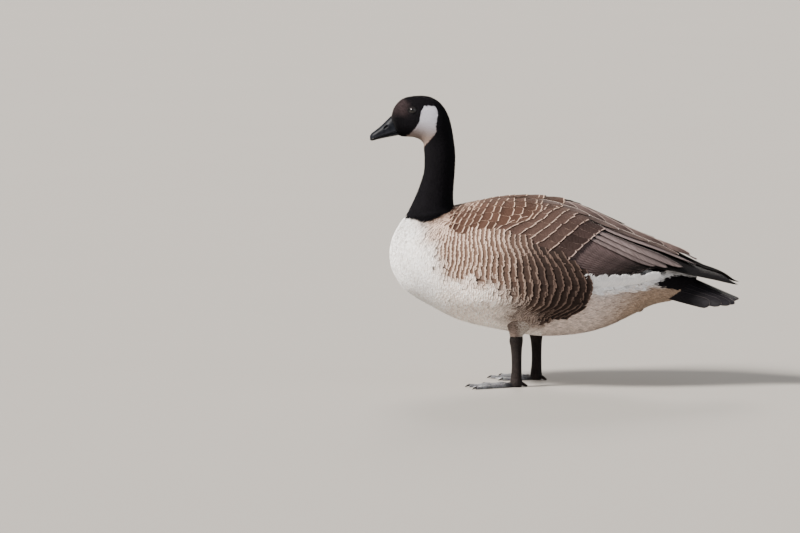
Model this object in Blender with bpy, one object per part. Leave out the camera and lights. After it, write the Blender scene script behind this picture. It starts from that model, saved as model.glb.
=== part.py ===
# Canada goose, a life-size standing model with folded wings.
# Metres, +Z up. The bird faces -Y and its left side is +X. The origin lies on the floor,
# midway between the bill tip and the tail tip.

import math

import bmesh
import bpy
import numpy as np
from mathutils import Vector

MM = 0.001
GAP = 0.3 * MM  # clear space between neighbouring pieces

# Driving sizes in millimetres
CROWN_HEIGHT = 496.0
STANCE = 52.0  # half the distance between the feet
LEG_STAGGER = 12.5  # the left foot stands this far before the middle, the right one behind
LEG_MIDDLE = -48.5
HOCK_HEIGHT = 87.0
FOOT_TOP = 15.0

# Sections of the flesh from the bill's base to the tail's root, in millimetres:
# back y, back z, belly y, belly z, half width, share of the height at which it is widest
SECTIONS = np.array([
    (-281.6, 461.8, -267, 426, 14.0, 0.45),
    (-275, 478, -259, 425, 18.5, 0.42),
    (-261, 491, -250, 425, 22.5, 0.42),
    (-237, CROWN_HEIGHT, -241, 424, 25.0, 0.42),
    (-214, 494, -233, 421, 25.5, 0.44),
    (-195, 482, -228, 417, 25.0, 0.48),
    (-182, 460, -225, 412, 24.0, 0.50),
    (-175, 430, -225, 404, 22.5, 0.50),
    (-171, 396, -224, 390, 22.5, 0.50),
    (-172, 365, -225, 366, 23.0, 0.50),
    (-174, 340, -231, 345, 25.0, 0.50),
    (-175, 322, -241, 320, 31.0, 0.50),
    (-174, 308, -255, 292, 39.0, 0.50),
    (-171, 302, -270, 270, 50.0, 0.50),
    (-168, 303, -281, 246, 63.0, 0.50),
    (-165, 305, -284, 218, 74.0, 0.50),
    (-162, 307, -277, 190, 83.0, 0.50),
    (-160, 308, -255, 160, 90.0, 0.50),
    (-157, 309, -213, 134, 95.0, 0.50),
    (-146, 313, -160, 109, 100.0, 0.50),
    (-93, 322, -93, 94, 105.5, 0.50),
    (-25, 325, -25, 84, 107.0, 0.50),
    (36, 314, 36, 87, 101.0, 0.50),
    (87, 284, 87, 99, 87.0, 0.52),
    (139, 248, 134, 121, 66.0, 0.50),
    (180, 222, 168, 138, 47.0, 0.50),
    (208, 207, 201, 146, 33.0, 0.50),
])
NECK_STARTS, TORSO_STARTS, TORSO_ENDS = 7.5, 12.0, 26.0  # places in the list above
NECK_CUT, TORSO_CUT = 0.025, 0.045  # width of the thin cuts, in sections
FULLNESS = 0.92  # 1 is an ellipse, less is squarer
AROUND = 24  # points round a section

# A closed wing's outer surface, in millimetres: y, top z, widest z, half width. The right wing is
# carried a little higher over the rump than the left one.
LEFT_WING = np.array([
    (-157, 308, 211, 101),
    (-93, 320, 208, 109),
    (-25, 319, 205, 110.5),
    (36, 304, 202, 105),
    (87, 281, 200, 94),
    (139, 259, 199, 78),
    (182, 242, 198, 63),
    (220, 223, 194, 50),
    (252, 207, 189, 40),
    (282, 197, 182, 29),
    (320, 182, 173, 18),
])
RIGHT_WING = np.array([
    (-157, 308, 211, 101),
    (-93, 321, 208, 109),
    (-25, 324, 205, 110.5),
    (36, 314, 202, 105),
    (87, 291, 200, 94),
    (139, 266, 199, 78),
    (182, 248, 198, 63),
    (220, 230, 195, 50),
    (252, 213, 190, 40),
    (282, 202, 183, 29),
    (320, 184, 174, 18),
])
# Lower edge of the closed wing against the flank, and half width of the back between the wings
WING_LOWER = np.array([(-150, 258), (-93, 250), (-55, 241), (-16, 226), (10, 210), (24, 195), (110, 195)])
WING_UPPER = np.array([(-150, 10), (-93, 6), (36, 5), (110, 4)])
WING_FRONT, WING_CORE_END = -148.0, 108.0
CORE_THICK, CORE_END_THICK = 7.0, 5.4
BED_GAP = 0.4  # clear space round the wing in the bed cut for it in the torso

# Feathers of a closed wing, tier by tier from the innermost to the outermost: how many, then y in
# millimetres and degrees down from the back of the first root, last root, first tip and last tip,
# then the lift in millimetres at root and at tip
TIERS = {
    "primary": (5, (72, 42), (84, 84), (318, 14), (238, 78), -4.2, -3.2),
    "secondary": (5, (60, 52), (38, 83), (206, 70), (116, 89), -2.4, -0.8),
    "tertial": (6, (28, 14), (34, 68), (232, 14), (176, 84), -2.2, 1.4),
    "greater_covert": (5, (30, 44), (-26, 78), (92, 32), (14, 85), -2.2, 1.8),
    "median_covert": (4, (-8, 42), (-56, 70), (50, 36), (-16, 76), -2.2, 2.0),
    "lesser_covert": (3, (-42, 47), (-94, 63), (4, 41), (-58, 68), -2.2, 2.2),
    "hind_scapular": (3, (0, 14), (-18, 42), (74, 14), (48, 46), -1.8, 2.8),
    "middle_scapular": (4, (-50, 15), (-66, 56), (14, 15), (-12, 58), -1.8, 3.0),
    "fore_scapular": (4, (-98, 15), (-112, 54), (-40, 15), (-58, 58), -1.8, 3.2),
    "shoulder": (4, (-138, 17), (-142, 53), (-92, 16), (-102, 58), -1.8, 3.2),
}
LONG_TIERS = ("primary", "secondary", "tertial")
VANE_THICK, VANE_EDGE_THICK = 1.0, 0.6
VANE_STEP = 1.25  # a vane leans by this much over one spacing, to lie over its lower neighbour
VANE_OVERLAP = 0.66  # half width of a vane, in spacings of its tier
VANE_VARIES = 2.5  # the tips are this uneven, in millimetres
SEED = 11

# Tail. Its feathers spring from an arch and spread to a lower, wider one.
TAIL_VANES = 13
TAIL_ROOT = (214.0, 197.0, 27.0, 47.0, 1.30)  # y and z on top, half width, fall, half angle
TAIL_TIP = (318.0, 150.0, 46.0, 14.0, 1.10)
TAIL_ROUNDING = 15.0  # the outermost feathers end this far before the middle one
TAIL_LIFT, TAIL_TOP_LIFT = -1.0, 0.4  # of all its feathers, and of the middle one besides
TAIL_SPREAD = 0.92  # where the outermost feathers lie, 1 being the edge of the arches
TAIL_HALF = 0.68  # half width of a feather, in spacings
TAIL_UNEVEN = 0.012
# Rings of the fleshy root: way out, width and height against the torso's end, and rise
TAIL_BASE = [(0.6, 0.97, 0.98, 0), (12, 0.86, 0.84, 3), (26, 0.70, 0.66, 7), (40, 0.45, 0.40, 11)]
TAIL_AXIS = np.array([0, 0.93, -0.37])

# Head
EYE_AT, EYE_UP = 2.8, math.radians(66)  # section and angle from the crown
EYE_RADIUS, EYE_SUNK = 7.0, 4.9
LID_RADIUS, LID_THICK = 5.5, 1.1
SOCKET_GAP = 0.35
# Bill: top y, top z, lower y, lower z, half width of each section
UPPER_BILL = np.array([
    (-281.8, 461.1, -271.0, 434.6, 13.6),
    (-289.0, 453.4, -282.0, 431.4, 12.8),
    (-299.0, 443.8, -294.6, 427.8, 11.6),
    (-308.4, 436.0, -306.0, 424.2, 10.4),
    (-315.2, 430.9, -313.6, 421.6, 8.4),
    (-318.6, 426.0, -317.8, 418.4, 4.2),
])
LOWER_BILL = np.array([
    (-270.7, 433.9, -268.2, 427.7, 12.6),
    (-282.0, 430.8, -280.2, 425.4, 11.8),
    (-294.6, 427.2, -293.4, 422.8, 10.4),
    (-306.0, 423.6, -305.2, 420.0, 8.6),
    (-313.4, 421.0, -313.0, 418.4, 5.6),
])
BILL_RINGS, BILL_AROUND = 11, 11
BILL_ROUNDING = 0.85  # 1 is a half circle, less is fuller
NOSTRIL = (10.6, -289.5, 442.0)  # x, y and z of its middle
NOSTRIL_SIZE = (3.5, 4.2, 1.5)  # half depth, half length, half height
NOSTRIL_TILT = math.radians(38)

# Legs, in millimetres: height, forward shift, half depth, half width
SHANK = np.array([
    (HOCK_HEIGHT, 0.5, 9.6, 8.4),
    (79.0, 0.0, 9.8, 8.2),
    (66.0, 0.4, 8.2, 6.6),
    (44.0, 0.8, 7.4, 5.6),
    (26.0, 0.6, 7.6, 5.8),
    (FOOT_TOP, 0.0, 8.6, 6.8),
])
THIGH = np.array([
    (HOCK_HEIGHT + 0.3, 0.0, 10.6, 9.4),
    (96.0, 3.0, 15.0, 13.0),
    (108.0, 8.0, 24.0, 20.0),
    (132.0, 14.0, 36.0, 28.0),
])
# Toes: length, angle outward, thickness at the root, joints
TOES = {
    "middle": (80.0, math.radians(2), 5.4, 3),
    "outer": (76.0, math.radians(27), 5.0, 4),
    "inner": (60.0, math.radians(-24), 4.8, 2),
}
CLAW = 8.0
HIND_TOE = 18.5  # its tip is this far behind the shank
TOE_SPLAY = math.radians(5)
# A toe from root to tip: share of its length, and over its claw the half width and the height
# against the root's; the toe itself thins by a share and swells at its joints
TOE_STATIONS = np.array([0, 0.1, 0.24, 0.4, 0.55, 0.7, 0.86, 1.0])
TOE_THINS, TOE_SWELLS, TOE_HEIGHT = 0.45, 0.09, 1.75
CLAW_STATIONS, CLAW_WIDTHS, CLAW_HEIGHTS = (0.35, 0.75, 1.0), (0.42, 0.28, 0.06), (0.95, 0.62, 0.16)
TOE_SECTION = np.array([
    (1, 0.25), (0.72, 0.78), (0, 1), (-0.72, 0.78), (-1, 0.25), (-0.7, 0), (0, 0), (0.7, 0)])
HEEL = [(0, 7.6, 7.2), (2.5, 9.4, 8.6), (7, 9.6, 8.2), (FOOT_TOP - 0.3, 8.4, 6.6)]  # height, depth, width
# Webs: from and to which share of the toes, depth of the hollow front edge, height over the floor
WEB_STARTS, WEB_ENDS, WEB_HOLLOW, WEB_FLOAT, WEB_THICK = 0.12, 0.97, 0.16, 0.4, 1.6
# Hind toe: its root and tip seen from the shank's axis, then half thickness along it
HIND_ROOT, HIND_TIP = (2.0, 2.0, 9.0), (7.0, HIND_TOE, 1.0)
HIND_RINGS = [(0, 3.6), (0.35, 3.4), (0.62, 3.0), (0.8, 2.2), (1.0, 1.3)]

COLOURS = {
    "black": (0.012, 0.011, 0.012, 0.55),
    "bill": (0.010, 0.011, 0.014, 0.35),
    "eye": (0.020, 0.012, 0.008, 0.08),
    "body": (0.420, 0.360, 0.310, 0.85),
    "wing": (0.190, 0.140, 0.110, 0.75),
    "tail": (0.014, 0.013, 0.015, 0.60),
    "leg": (0.030, 0.030, 0.034, 0.55),
}


def clear_scene():
    for obj in list(bpy.data.objects):
        bpy.data.objects.remove(obj, do_unlink=True)


def collection(name):
    made = bpy.data.collections.new(name)
    bpy.context.scene.collection.children.link(made)
    return made


def material(name):
    red, green, blue, roughness = COLOURS[name]
    made = bpy.data.materials.new(name)
    made.use_nodes = True
    shader = made.node_tree.nodes["Principled BSDF"]
    shader.inputs["Base Color"].default_value = (red, green, blue, 1)
    shader.inputs["Roughness"].default_value = roughness
    shader.inputs["Metallic"].default_value = 0.0
    return made


def catmull_rom(rows, place):
    """Rows of numbers read at fractional places, along a smooth curve through them."""
    place = np.clip(np.atleast_1d(np.asarray(place, float)), 0, len(rows) - 1)
    low = np.minimum(place.astype(int), len(rows) - 2)
    part = (place - low)[:, None]
    before = rows[np.maximum(low - 1, 0)]
    after = rows[np.minimum(low + 2, len(rows) - 1)]
    here, there = rows[low], rows[low + 1]
    return 0.5 * (2 * here + (there - before) * part
                  + (2 * before - 5 * here + 4 * there - after) * part ** 2
                  + (3 * here - before - 3 * there + after) * part ** 3)


def smooth_step(value):
    value = np.clip(value, 0, 1)
    return value * value * (3 - 2 * value)


def sections_by_y(rows, y):
    """A table whose first column is y, read at any y along a smooth curve."""
    place = np.interp(y, rows[:, 0], np.arange(len(rows)))
    return catmull_rom(rows, place)


def lower_edge(y):
    return np.interp(y, WING_LOWER[:, 0], WING_LOWER[:, 1])


def upper_edge(y):
    return np.interp(y, WING_UPPER[:, 0], WING_UPPER[:, 1])


def flesh_ring(place, grow=0.0, around=AROUND):
    """One section of the body at a place in the list, as points in millimetres."""
    back_y, back_z, belly_y, belly_z, width, share = catmull_rom(SECTIONS, place)[0]
    back, belly = np.array([back_y, back_z]), np.array([belly_y, belly_z])
    tall = np.linalg.norm(back - belly)
    up = (back - belly) / tall
    middle = belly + share * (back - belly)
    angle = np.arange(around) / around * 2 * math.pi
    cosine, sine = np.cos(angle), np.sin(angle)
    reach = np.where(cosine > 0, tall * (1 - share), tall * share) + grow
    rise = np.sign(cosine) * np.abs(cosine) ** FULLNESS * reach
    side = np.sign(sine) * np.abs(sine) ** FULLNESS * (width + grow)
    return np.column_stack([side, middle[0] + rise * up[0], middle[1] + rise * up[1]])


def flesh_rings(first, last, count, grow=0.0):
    return np.array([flesh_ring(p, grow) for p in np.linspace(first, last, count)])


def new_object(name, mesh, home, finish=None):
    mesh.update()
    obj = bpy.data.objects.new(name, mesh)
    home.objects.link(obj)
    if finish:
        mesh.materials.append(finish)
    return obj


def mesh_of(name, points, faces):
    """A mesh from points in millimetres, with its faces turned outward."""
    shape = bmesh.new()
    corners = [shape.verts.new(Vector(p) * MM) for p in points]
    for face in faces:
        shape.faces.new([corners[i] for i in face])
    bmesh.ops.recalc_face_normals(shape, faces=shape.faces)
    mesh = bpy.data.meshes.new(name)
    shape.to_mesh(mesh)
    shape.free()
    return mesh


def loft(name, rings, home, finish=None):
    """A closed skin over a row of rings, with flat ends."""
    count, around = rings.shape[:2]
    faces = [tuple(range(around)), tuple((count - 1) * around + i for i in range(around))]
    for row in range(count - 1):
        for i in range(around):
            j = (i + 1) % around
            a, b = row * around, (row + 1) * around
            faces.append((a + i, a + j, b + j, b + i))
    return new_object(name, mesh_of(name, rings.reshape(-1, 3), faces), home, finish)


def slab(name, top, bottom, home, finish=None):
    """A thin closed solid between two alike grids, split into triangles alike on both faces."""
    rows, columns = top.shape[:2]
    under = rows * columns
    faces = []
    for i in range(rows - 1):
        for j in range(columns - 1):
            a = i * columns + j
            b, c, d = a + 1, a + columns + 1, a + columns
            faces += [(a, b, c), (a, c, d)]
            faces += [(under + a, under + c, under + b), (under + a, under + d, under + c)]
    rim = [j for j in range(columns)]
    rim += [i * columns + columns - 1 for i in range(1, rows)]
    rim += [(rows - 1) * columns + j for j in range(columns - 2, -1, -1)]
    rim += [i * columns for i in range(rows - 2, 0, -1)]
    for a, b in zip(rim, rim[1:] + rim[:1]):
        faces += [(a, under + a, b), (b, under + a, under + b)]
    points = np.concatenate([top.reshape(-1, 3), bottom.reshape(-1, 3)])
    return new_object(name, mesh_of(name, points, faces), home, finish)


def apply_modifiers(obj):
    graph = bpy.context.evaluated_depsgraph_get()
    mesh = bpy.data.meshes.new_from_object(obj.evaluated_get(graph))
    obj.modifiers.clear()
    obj.data = mesh


def keep_largest(obj):
    """Keeps only the largest closed surface of a mesh."""
    shape = bmesh.new()
    shape.from_mesh(obj.data)
    shape.verts.ensure_lookup_table()
    left, groups = set(shape.verts), []
    while left:
        front = [left.pop()]
        group = list(front)
        while front:
            vertex = front.pop()
            near = [edge.other_vert(vertex) for edge in vertex.link_edges]
            fresh = [v for v in near if v in left]
            left.difference_update(fresh)
            front += fresh
            group += fresh
        groups.append(group)
    groups.sort(key=len)
    loose = [v for group in groups[:-1] for v in group]
    bmesh.ops.delete(shape, geom=loose, context="VERTS")
    shape.to_mesh(obj.data)
    shape.free()


def combine(obj, pieces, operation, solver="EXACT"):
    """One Boolean of an object with a list of others, which are then removed."""
    tools = bpy.data.collections.new(obj.name + "_tools")
    bpy.context.scene.collection.children.link(tools)
    for piece in pieces:
        for home in list(piece.users_collection):
            home.objects.unlink(piece)
        tools.objects.link(piece)
    modifier = obj.modifiers.new("combine", "BOOLEAN")
    modifier.operation, modifier.solver = operation, solver
    modifier.operand_type, modifier.collection = "COLLECTION", tools
    apply_modifiers(obj)
    for piece in pieces:
        bpy.data.objects.remove(piece, do_unlink=True)
    bpy.data.collections.remove(tools)
    keep_largest(obj)


def shade_round(obj, degrees=40):
    obj.data.shade_smooth()
    obj.data.set_sharp_from_angle(angle=math.radians(degrees))


def wing_shape(side):
    return LEFT_WING if side > 0 else RIGHT_WING


def wing_point(y, angle, lift, side):
    """Points of the closed wing's outer surface, the angle running from the back down the side."""
    y, angle, lift = np.broadcast_arrays(np.asarray(y, float), angle, lift)
    shape = sections_by_y(wing_shape(side), y.ravel())
    top, middle, width = shape[:, 1], shape[:, 2], shape[:, 3]
    sine, cosine = np.sin(angle.ravel()), np.cos(angle.ravel())
    x = width * np.abs(sine) ** FULLNESS
    z = middle + (top - middle) * np.sign(cosine) * np.abs(cosine) ** FULLNESS
    out = np.column_stack([(top - middle) * sine, np.zeros(len(x)), width * cosine])
    out /= np.linalg.norm(out, axis=1)[:, None]
    points = np.column_stack([x, y.ravel(), z]) + out * lift.ravel()[:, None]
    return points.reshape(y.shape + (3,)) * np.array([side, 1, 1])


def wing_angle(y, z, side):
    """Angle on the wing's surface of a point seen from the side at y and z."""
    shape = sections_by_y(wing_shape(side), np.atleast_1d(y))
    rise = np.clip((z - shape[:, 2]) / (shape[:, 1] - shape[:, 2]), -0.6, 1)
    return np.arccos(np.sign(rise) * np.abs(rise) ** (1 / FULLNESS))


def wing_shell(name, home, side, gap=0.0):
    """The wing's own body, a shell thinning towards the tail, or with a gap the cutter for its bed."""
    rows, columns = 12, 7
    y = np.linspace(WING_FRONT, WING_CORE_END, rows)
    y[0] -= gap
    y[-1] += 25 if gap else 0
    width = sections_by_y(wing_shape(side), y)[:, 3]
    first = np.arcsin(upper_edge(y) / width) - gap / width
    last = wing_angle(y, lower_edge(y), side) + gap / width
    angle = first[:, None] + (last - first)[:, None] * np.linspace(0, 1, columns)
    y = np.repeat(y[:, None], columns, axis=1)
    thin = smooth_step((y - 40) / (WING_CORE_END - 40))
    thick = CORE_THICK + (CORE_END_THICK - CORE_THICK) * thin + gap
    top = wing_point(y, angle, 12.0 if gap else 0.0, side)
    return slab(name, top, wing_point(y, angle, -thick, side), home)


def chart_scale(y, angle, side):
    """Millimetres of the wing's surface to a radian, at points of it."""
    shape = sections_by_y(wing_shape(side), y)
    return np.hypot(shape[:, 3] * np.cos(angle), (shape[:, 1] - shape[:, 2]) * np.sin(angle))


def wing_vane(name, root, tip, steps, lifts, rings, home, side):
    """A feather along the wing's surface from root to tip, as wide as the steps to the next one ask."""
    along = np.linspace(0, 1, rings - 1)
    along = np.append(along[:-1], [(along[-2] + 2.4) / 3.4, 1.0])
    y, angle = root[0] + (tip[0] - root[0]) * along, root[1] + (tip[1] - root[1]) * along
    step_y = steps[0][0] + (steps[1][0] - steps[0][0]) * along
    step_angle = steps[0][1] + (steps[1][1] - steps[0][1]) * along
    scale = chart_scale(y, angle, side)
    heading = np.arctan2(np.gradient(angle) * scale, np.gradient(y))
    spacing = np.abs(step_angle * scale * np.cos(heading) - step_y * np.sin(heading))
    outline = np.interp(along, [0, 0.2, 0.8, 0.93, 1], [0.7, 1, 1, 0.72, 0.15])
    offset = (spacing * VANE_OVERLAP * outline)[:, None] * np.array([-1.0, 0.0, 1.0])
    ys = y[:, None] - offset * np.sin(heading)[:, None]
    angles = angle[:, None] + offset * np.cos(heading)[:, None] / scale[:, None]
    least = np.arcsin(3.0 / sections_by_y(wing_shape(side), ys.ravel())[:, 3])
    angles = np.maximum(angles, least.reshape(ys.shape))
    lift = np.interp(along, [0, 1], lifts)[:, None] - offset * (VANE_STEP / spacing)[:, None]
    half = np.array([VANE_EDGE_THICK, VANE_THICK, VANE_EDGE_THICK]) / 2
    top, bottom = wing_point(ys, angles, lift + half, side), wing_point(ys, angles, lift - half, side)
    return slab(name, top, bottom, home)


def wing(home, finish, side):
    """A closed wing: its core with every tier of feathers fused in by their roots."""
    core = wing_shell("wing_left" if side > 0 else "wing_right", home, side)
    core.data.materials.append(finish)
    vanes = []
    chance = np.random.default_rng(SEED if side > 0 else SEED + 1)
    for tier, (count, root_a, root_b, tip_a, tip_b, *lifts) in TIERS.items():
        to_metric = np.array([1, math.radians(1)])
        ends = [np.array(end) * to_metric for end in (root_a, root_b, tip_a, tip_b)]
        steps = (ends[1] - ends[0]) / (count - 1), (ends[3] - ends[2]) / (count - 1)
        rings = 6 if tier in LONG_TIERS else 4
        for i in range(count):
            root, tip = ends[0] + i * steps[0], ends[2] + i * steps[1]
            tip[0] += chance.uniform(-1, 1) * VANE_VARIES
            vanes.append(wing_vane(f"{tier}_{i}", root, tip, steps, lifts, rings, home, side))
    combine(core, vanes, "UNION", "MANIFOLD")
    shade_round(core)


def tail_point(across, along, lift):
    """Points of the tail's surface: -1 to 1 from side to side, 0 to 1 from root to tip, and lift."""
    across, along, lift = np.broadcast_arrays(np.asarray(across, float), along, lift)

    def arch(shape, turn):
        y, top, wide, fall, spread = shape
        x = wide * np.sin(spread * turn) / math.sin(spread)
        drop = fall * (1 - np.cos(spread * turn)) / (1 - math.cos(spread))
        return np.stack([x, np.full_like(x, y), top - drop], -1)

    def surface(turn, part):
        start, end = arch(TAIL_ROOT, turn), arch(TAIL_TIP, turn)
        end[..., 1] -= TAIL_ROUNDING * turn ** 2
        return start + (end - start) * part[..., None]

    here = surface(across, along)
    out = np.cross(surface(across + 0.01, along) - here, surface(across, along + 0.01) - here)
    out /= np.linalg.norm(out, axis=-1)[..., None]
    return here + out * lift[..., None]


def tail_vane(index, home):
    """One tail feather. The middle one lies on top, the others with their inner edge under the next."""
    middle = (TAIL_VANES - 1) / 2
    rank = index - middle
    uneven = 1 + TAIL_UNEVEN * math.sin(2.4 * index)
    along = np.array([0, 0.3, 0.65, 0.9, 1.0])[:, None] * uneven
    width = np.array([0.9, 1.0, 1.0, 0.9, 0.5])[:, None] * TAIL_HALF / middle
    offset = np.array([-1.0, 0.0, 1.0])
    across = rank / middle * TAIL_SPREAD + width * offset
    slope = np.sign(rank) * VANE_STEP * TAIL_HALF * offset
    lift = TAIL_LIFT + slope + (TAIL_TOP_LIFT if rank == 0 else 0)
    half = np.array([VANE_EDGE_THICK, VANE_THICK, VANE_EDGE_THICK]) / 2
    top, bottom = tail_point(across, along, lift + half), tail_point(across, along, lift - half)
    return slab(f"rectrix_{index}", top, bottom, home)


def tail(home, finish):
    """The tail: a fleshy root that grows from the torso's end, and its fan."""
    start = flesh_ring(TORSO_ENDS)
    middle = start.mean(axis=0)
    rings = []
    for out, wide, tall, rise in TAIL_BASE:
        shape = (start - middle) * np.array([wide, tall, tall])
        rings.append(middle + shape + TAIL_AXIS * out + np.array([0, 0, rise]))
    root = loft("tail", np.array(rings), home, finish)
    combine(root, [tail_vane(i, home) for i in range(TAIL_VANES)], "UNION", "MANIFOLD")
    shade_round(root)


def ball(name, centre, radius, home, finish=None, segments=16, rings=9):
    shape = bmesh.new()
    bmesh.ops.create_uvsphere(shape, u_segments=segments, v_segments=rings, radius=radius * MM)
    bmesh.ops.translate(shape, verts=shape.verts, vec=Vector(centre) * MM)
    mesh = bpy.data.meshes.new(name)
    shape.to_mesh(mesh)
    shape.free()
    return new_object(name, mesh, home, finish)


def surface_frame(place, angle, side):
    """A point on the body with its outward direction, from a section and an angle from the top."""
    def at(where, turn):
        ring = flesh_ring(where, around=720)
        return ring[int(round(math.degrees(turn) * 2)) % 720]
    here = at(place, angle)
    ahead = at(place + 0.1, angle) - here
    down = at(place, angle + math.radians(2)) - here
    out = np.cross(down, ahead)
    out /= np.linalg.norm(out) * (1 if out[0] > 0 else -1)
    mirror = np.array([side, 1, 1])
    return here * mirror, out * mirror


def eye_centre(side):
    spot, out = surface_frame(EYE_AT, EYE_UP, side)
    return spot - out * EYE_SUNK, out


def lid(name, side, home):
    """A rim of skin round the eye's opening."""
    centre, out = eye_centre(side)
    rim = math.sqrt(EYE_RADIUS ** 2 - LID_RADIUS ** 2)
    bpy.ops.mesh.primitive_torus_add(
        major_radius=LID_RADIUS * MM, minor_radius=LID_THICK * MM, major_segments=16, minor_segments=6,
        location=Vector(centre + out * rim) * MM, rotation=Vector(out).to_track_quat("Z", "Y").to_euler())
    made = bpy.context.object
    made.name = name
    return made


def head(home, finish):
    made = loft("head", flesh_rings(0, NECK_STARTS, 16), home, finish)
    lids = [lid("lid", side, home) for side in (1, -1)]
    combine(made, lids, "UNION")
    sockets = [ball("socket", eye_centre(side)[0], EYE_RADIUS + SOCKET_GAP, home) for side in (1, -1)]
    combine(made, sockets, "DIFFERENCE")
    shade_round(made)


def eyes(home, finish):
    for side, name in ((1, "eye_left"), (-1, "eye_right")):
        shade_round(ball(name, eye_centre(side)[0], EYE_RADIUS, home, finish))


def bill_rings(rows, flip):
    """Sections of half a bill: an arch on a flat base, the base being the line of the mouth."""
    rings = []
    turn = np.linspace(0, math.pi, BILL_AROUND)
    places = np.linspace(0, len(rows) - 1, BILL_RINGS)
    for top_y, top_z, low_y, low_z, width in catmull_rom(rows, places):
        base, peak = np.array([low_y, low_z]), np.array([top_y, top_z])
        if flip:
            base, peak = peak, base
        side = width * np.cos(turn)
        rise = np.sin(turn) ** BILL_ROUNDING
        arch = [(x, *(base + (peak - base) * r)) for x, r in zip(side, rise)]
        floor = [(x, *base) for x in (-width * 0.5, 0.0, width * 0.5)]
        rings.append(arch + floor)
    return np.array(rings)


def bill(home, finish):
    upper = loft("bill_upper", bill_rings(UPPER_BILL, False), home, finish)
    pits = []
    for side in (1, -1):
        pit = ball("pit", (0, 0, 0), 1.0, home, segments=16, rings=10)
        pit.scale = NOSTRIL_SIZE
        pit.rotation_euler = (NOSTRIL_TILT, 0, 0)
        pit.location = Vector((side * NOSTRIL[0], *NOSTRIL[1:])) * MM
        pits.append(pit)
    bpy.context.view_layer.update()
    combine(upper, pits, "DIFFERENCE")
    shade_round(upper)
    shade_round(loft("bill_lower", bill_rings(LOWER_BILL, True), home, finish))


def leg_place(side):
    return np.array([side * STANCE, LEG_MIDDLE - side * LEG_STAGGER, 0.0])


def column(name, rows, side, steps, around, home, finish):
    """An upright limb of oval sections."""
    turn = np.arange(around) / around * 2 * math.pi
    rings = []
    for height, shift, depth, width in catmull_rom(rows, np.linspace(0, len(rows) - 1, steps)):
        ring = np.column_stack([width * np.cos(turn), shift + depth * np.sin(turn), np.full(around, height)])
        rings.append(ring + leg_place(side))
    return loft(name, np.array(rings), home, finish)


def torso(home, finish):
    """The trunk, with a bed cut in each side for the folded wing."""
    made = loft("torso", flesh_rings(TORSO_STARTS + TORSO_CUT, TORSO_ENDS, 28), home, finish)
    combine(made, [wing_shell("bed", home, side, BED_GAP) for side in (1, -1)], "DIFFERENCE")
    shade_round(made)


def thigh(side, home, finish):
    """The feathered upper leg, cut to meet the belly."""
    name = "thigh_left" if side > 0 else "thigh_right"
    made = column(name, THIGH, side, 8, 20, home, finish)
    belly = loft("belly", flesh_rings(TORSO_STARTS, TORSO_ENDS, 28, grow=GAP / MM), home)
    combine(made, [belly], "DIFFERENCE")
    shade_round(made)


def toe_rings(length, angle, thick, joints, side):
    """A toe lying on the floor with swellings at its joints and a claw at its end."""
    swell = 1 + TOE_SWELLS * np.cos(TOE_STATIONS * joints * 2 * math.pi)
    toe = thick * (1 - TOE_THINS * TOE_STATIONS) * swell
    half = np.concatenate([toe, thick * np.array(CLAW_WIDTHS)])
    tall = np.concatenate([toe * TOE_HEIGHT, thick * np.array(CLAW_HEIGHTS)])
    along = np.concatenate([TOE_STATIONS * length, length + np.array(CLAW_STATIONS) * CLAW])
    direction = side * (angle + TOE_SPLAY)
    forward = np.array([math.sin(direction), -math.cos(direction), 0])
    sideways = np.array([math.cos(direction), math.sin(direction), 0])
    across, up = TOE_SECTION.T
    return np.array([
        leg_place(side) + forward * a + np.outer(across * h, sideways) + np.outer(up * t, (0, 0, 1))
        for a, h, t in zip(along, half, tall)])


def web(first, second, side, home):
    """The skin between two toes, with a hollow front edge."""
    rows, columns = 4, 6
    grid = np.zeros((rows, columns, 3))
    for j, across in enumerate(np.linspace(0, 1, columns)):
        length = first[0] + (second[0] - first[0]) * across
        angle = side * (first[1] + (second[1] - first[1]) * across + TOE_SPLAY)
        reach = length * (WEB_ENDS - WEB_HOLLOW * math.sin(math.pi * across))
        for i, out in enumerate(np.linspace(WEB_STARTS, 1, rows)):
            grid[i, j] = leg_place(side) + reach * out * np.array([math.sin(angle), -math.cos(angle), 0])
    top, bottom = grid.copy(), grid.copy()
    top[..., 2] = WEB_FLOAT + WEB_THICK
    bottom[..., 2] = WEB_FLOAT
    return slab("web", top, bottom, home)


def hind_toe(side, home):
    """The short raised toe at the back of the foot, its claw set flat on the floor."""
    turn = np.arange(10) / 10 * 2 * math.pi
    start = leg_place(side) + np.array(HIND_ROOT) * (-side, 1, 1)
    end = leg_place(side) + np.array(HIND_TIP) * (-side, 1, 1)
    direction = (end - start) / np.linalg.norm(end - start)
    sideways = np.cross(direction, (0, 0, 1.0))
    sideways /= np.linalg.norm(sideways)
    upward = np.cross(sideways, direction)
    rings = []
    for along, half in HIND_RINGS:
        centre = start + (end - start) * along
        ring = centre + half * (np.outer(np.cos(turn), sideways) + np.outer(np.sin(turn), upward))
        ring[:, 2] = np.maximum(ring[:, 2], 0.0)
        rings.append(ring)
    return loft("hind_toe", np.array(rings), home)


def foot(side, home, finish):
    """A webbed foot: a heel under the shank, three webbed toes and the hind toe."""
    name = "foot_left" if side > 0 else "foot_right"
    turn = np.arange(16) / 16 * 2 * math.pi
    rings = []
    for height, depth, width in HEEL:
        ring = np.column_stack([width * np.cos(turn), depth * np.sin(turn), height + 0 * turn])
        rings.append(ring + leg_place(side))
    heel = loft(name, np.array(rings), home, finish)
    pieces = [loft("toe", toe_rings(*toe, side), home) for toe in TOES.values()]
    for inner, outer in (("middle", "outer"), ("inner", "middle")):
        pieces.append(web(TOES[inner], TOES[outer], side, home))
    pieces.append(hind_toe(side, home))
    combine(heel, pieces, "UNION")
    shade_round(heel)


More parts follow.
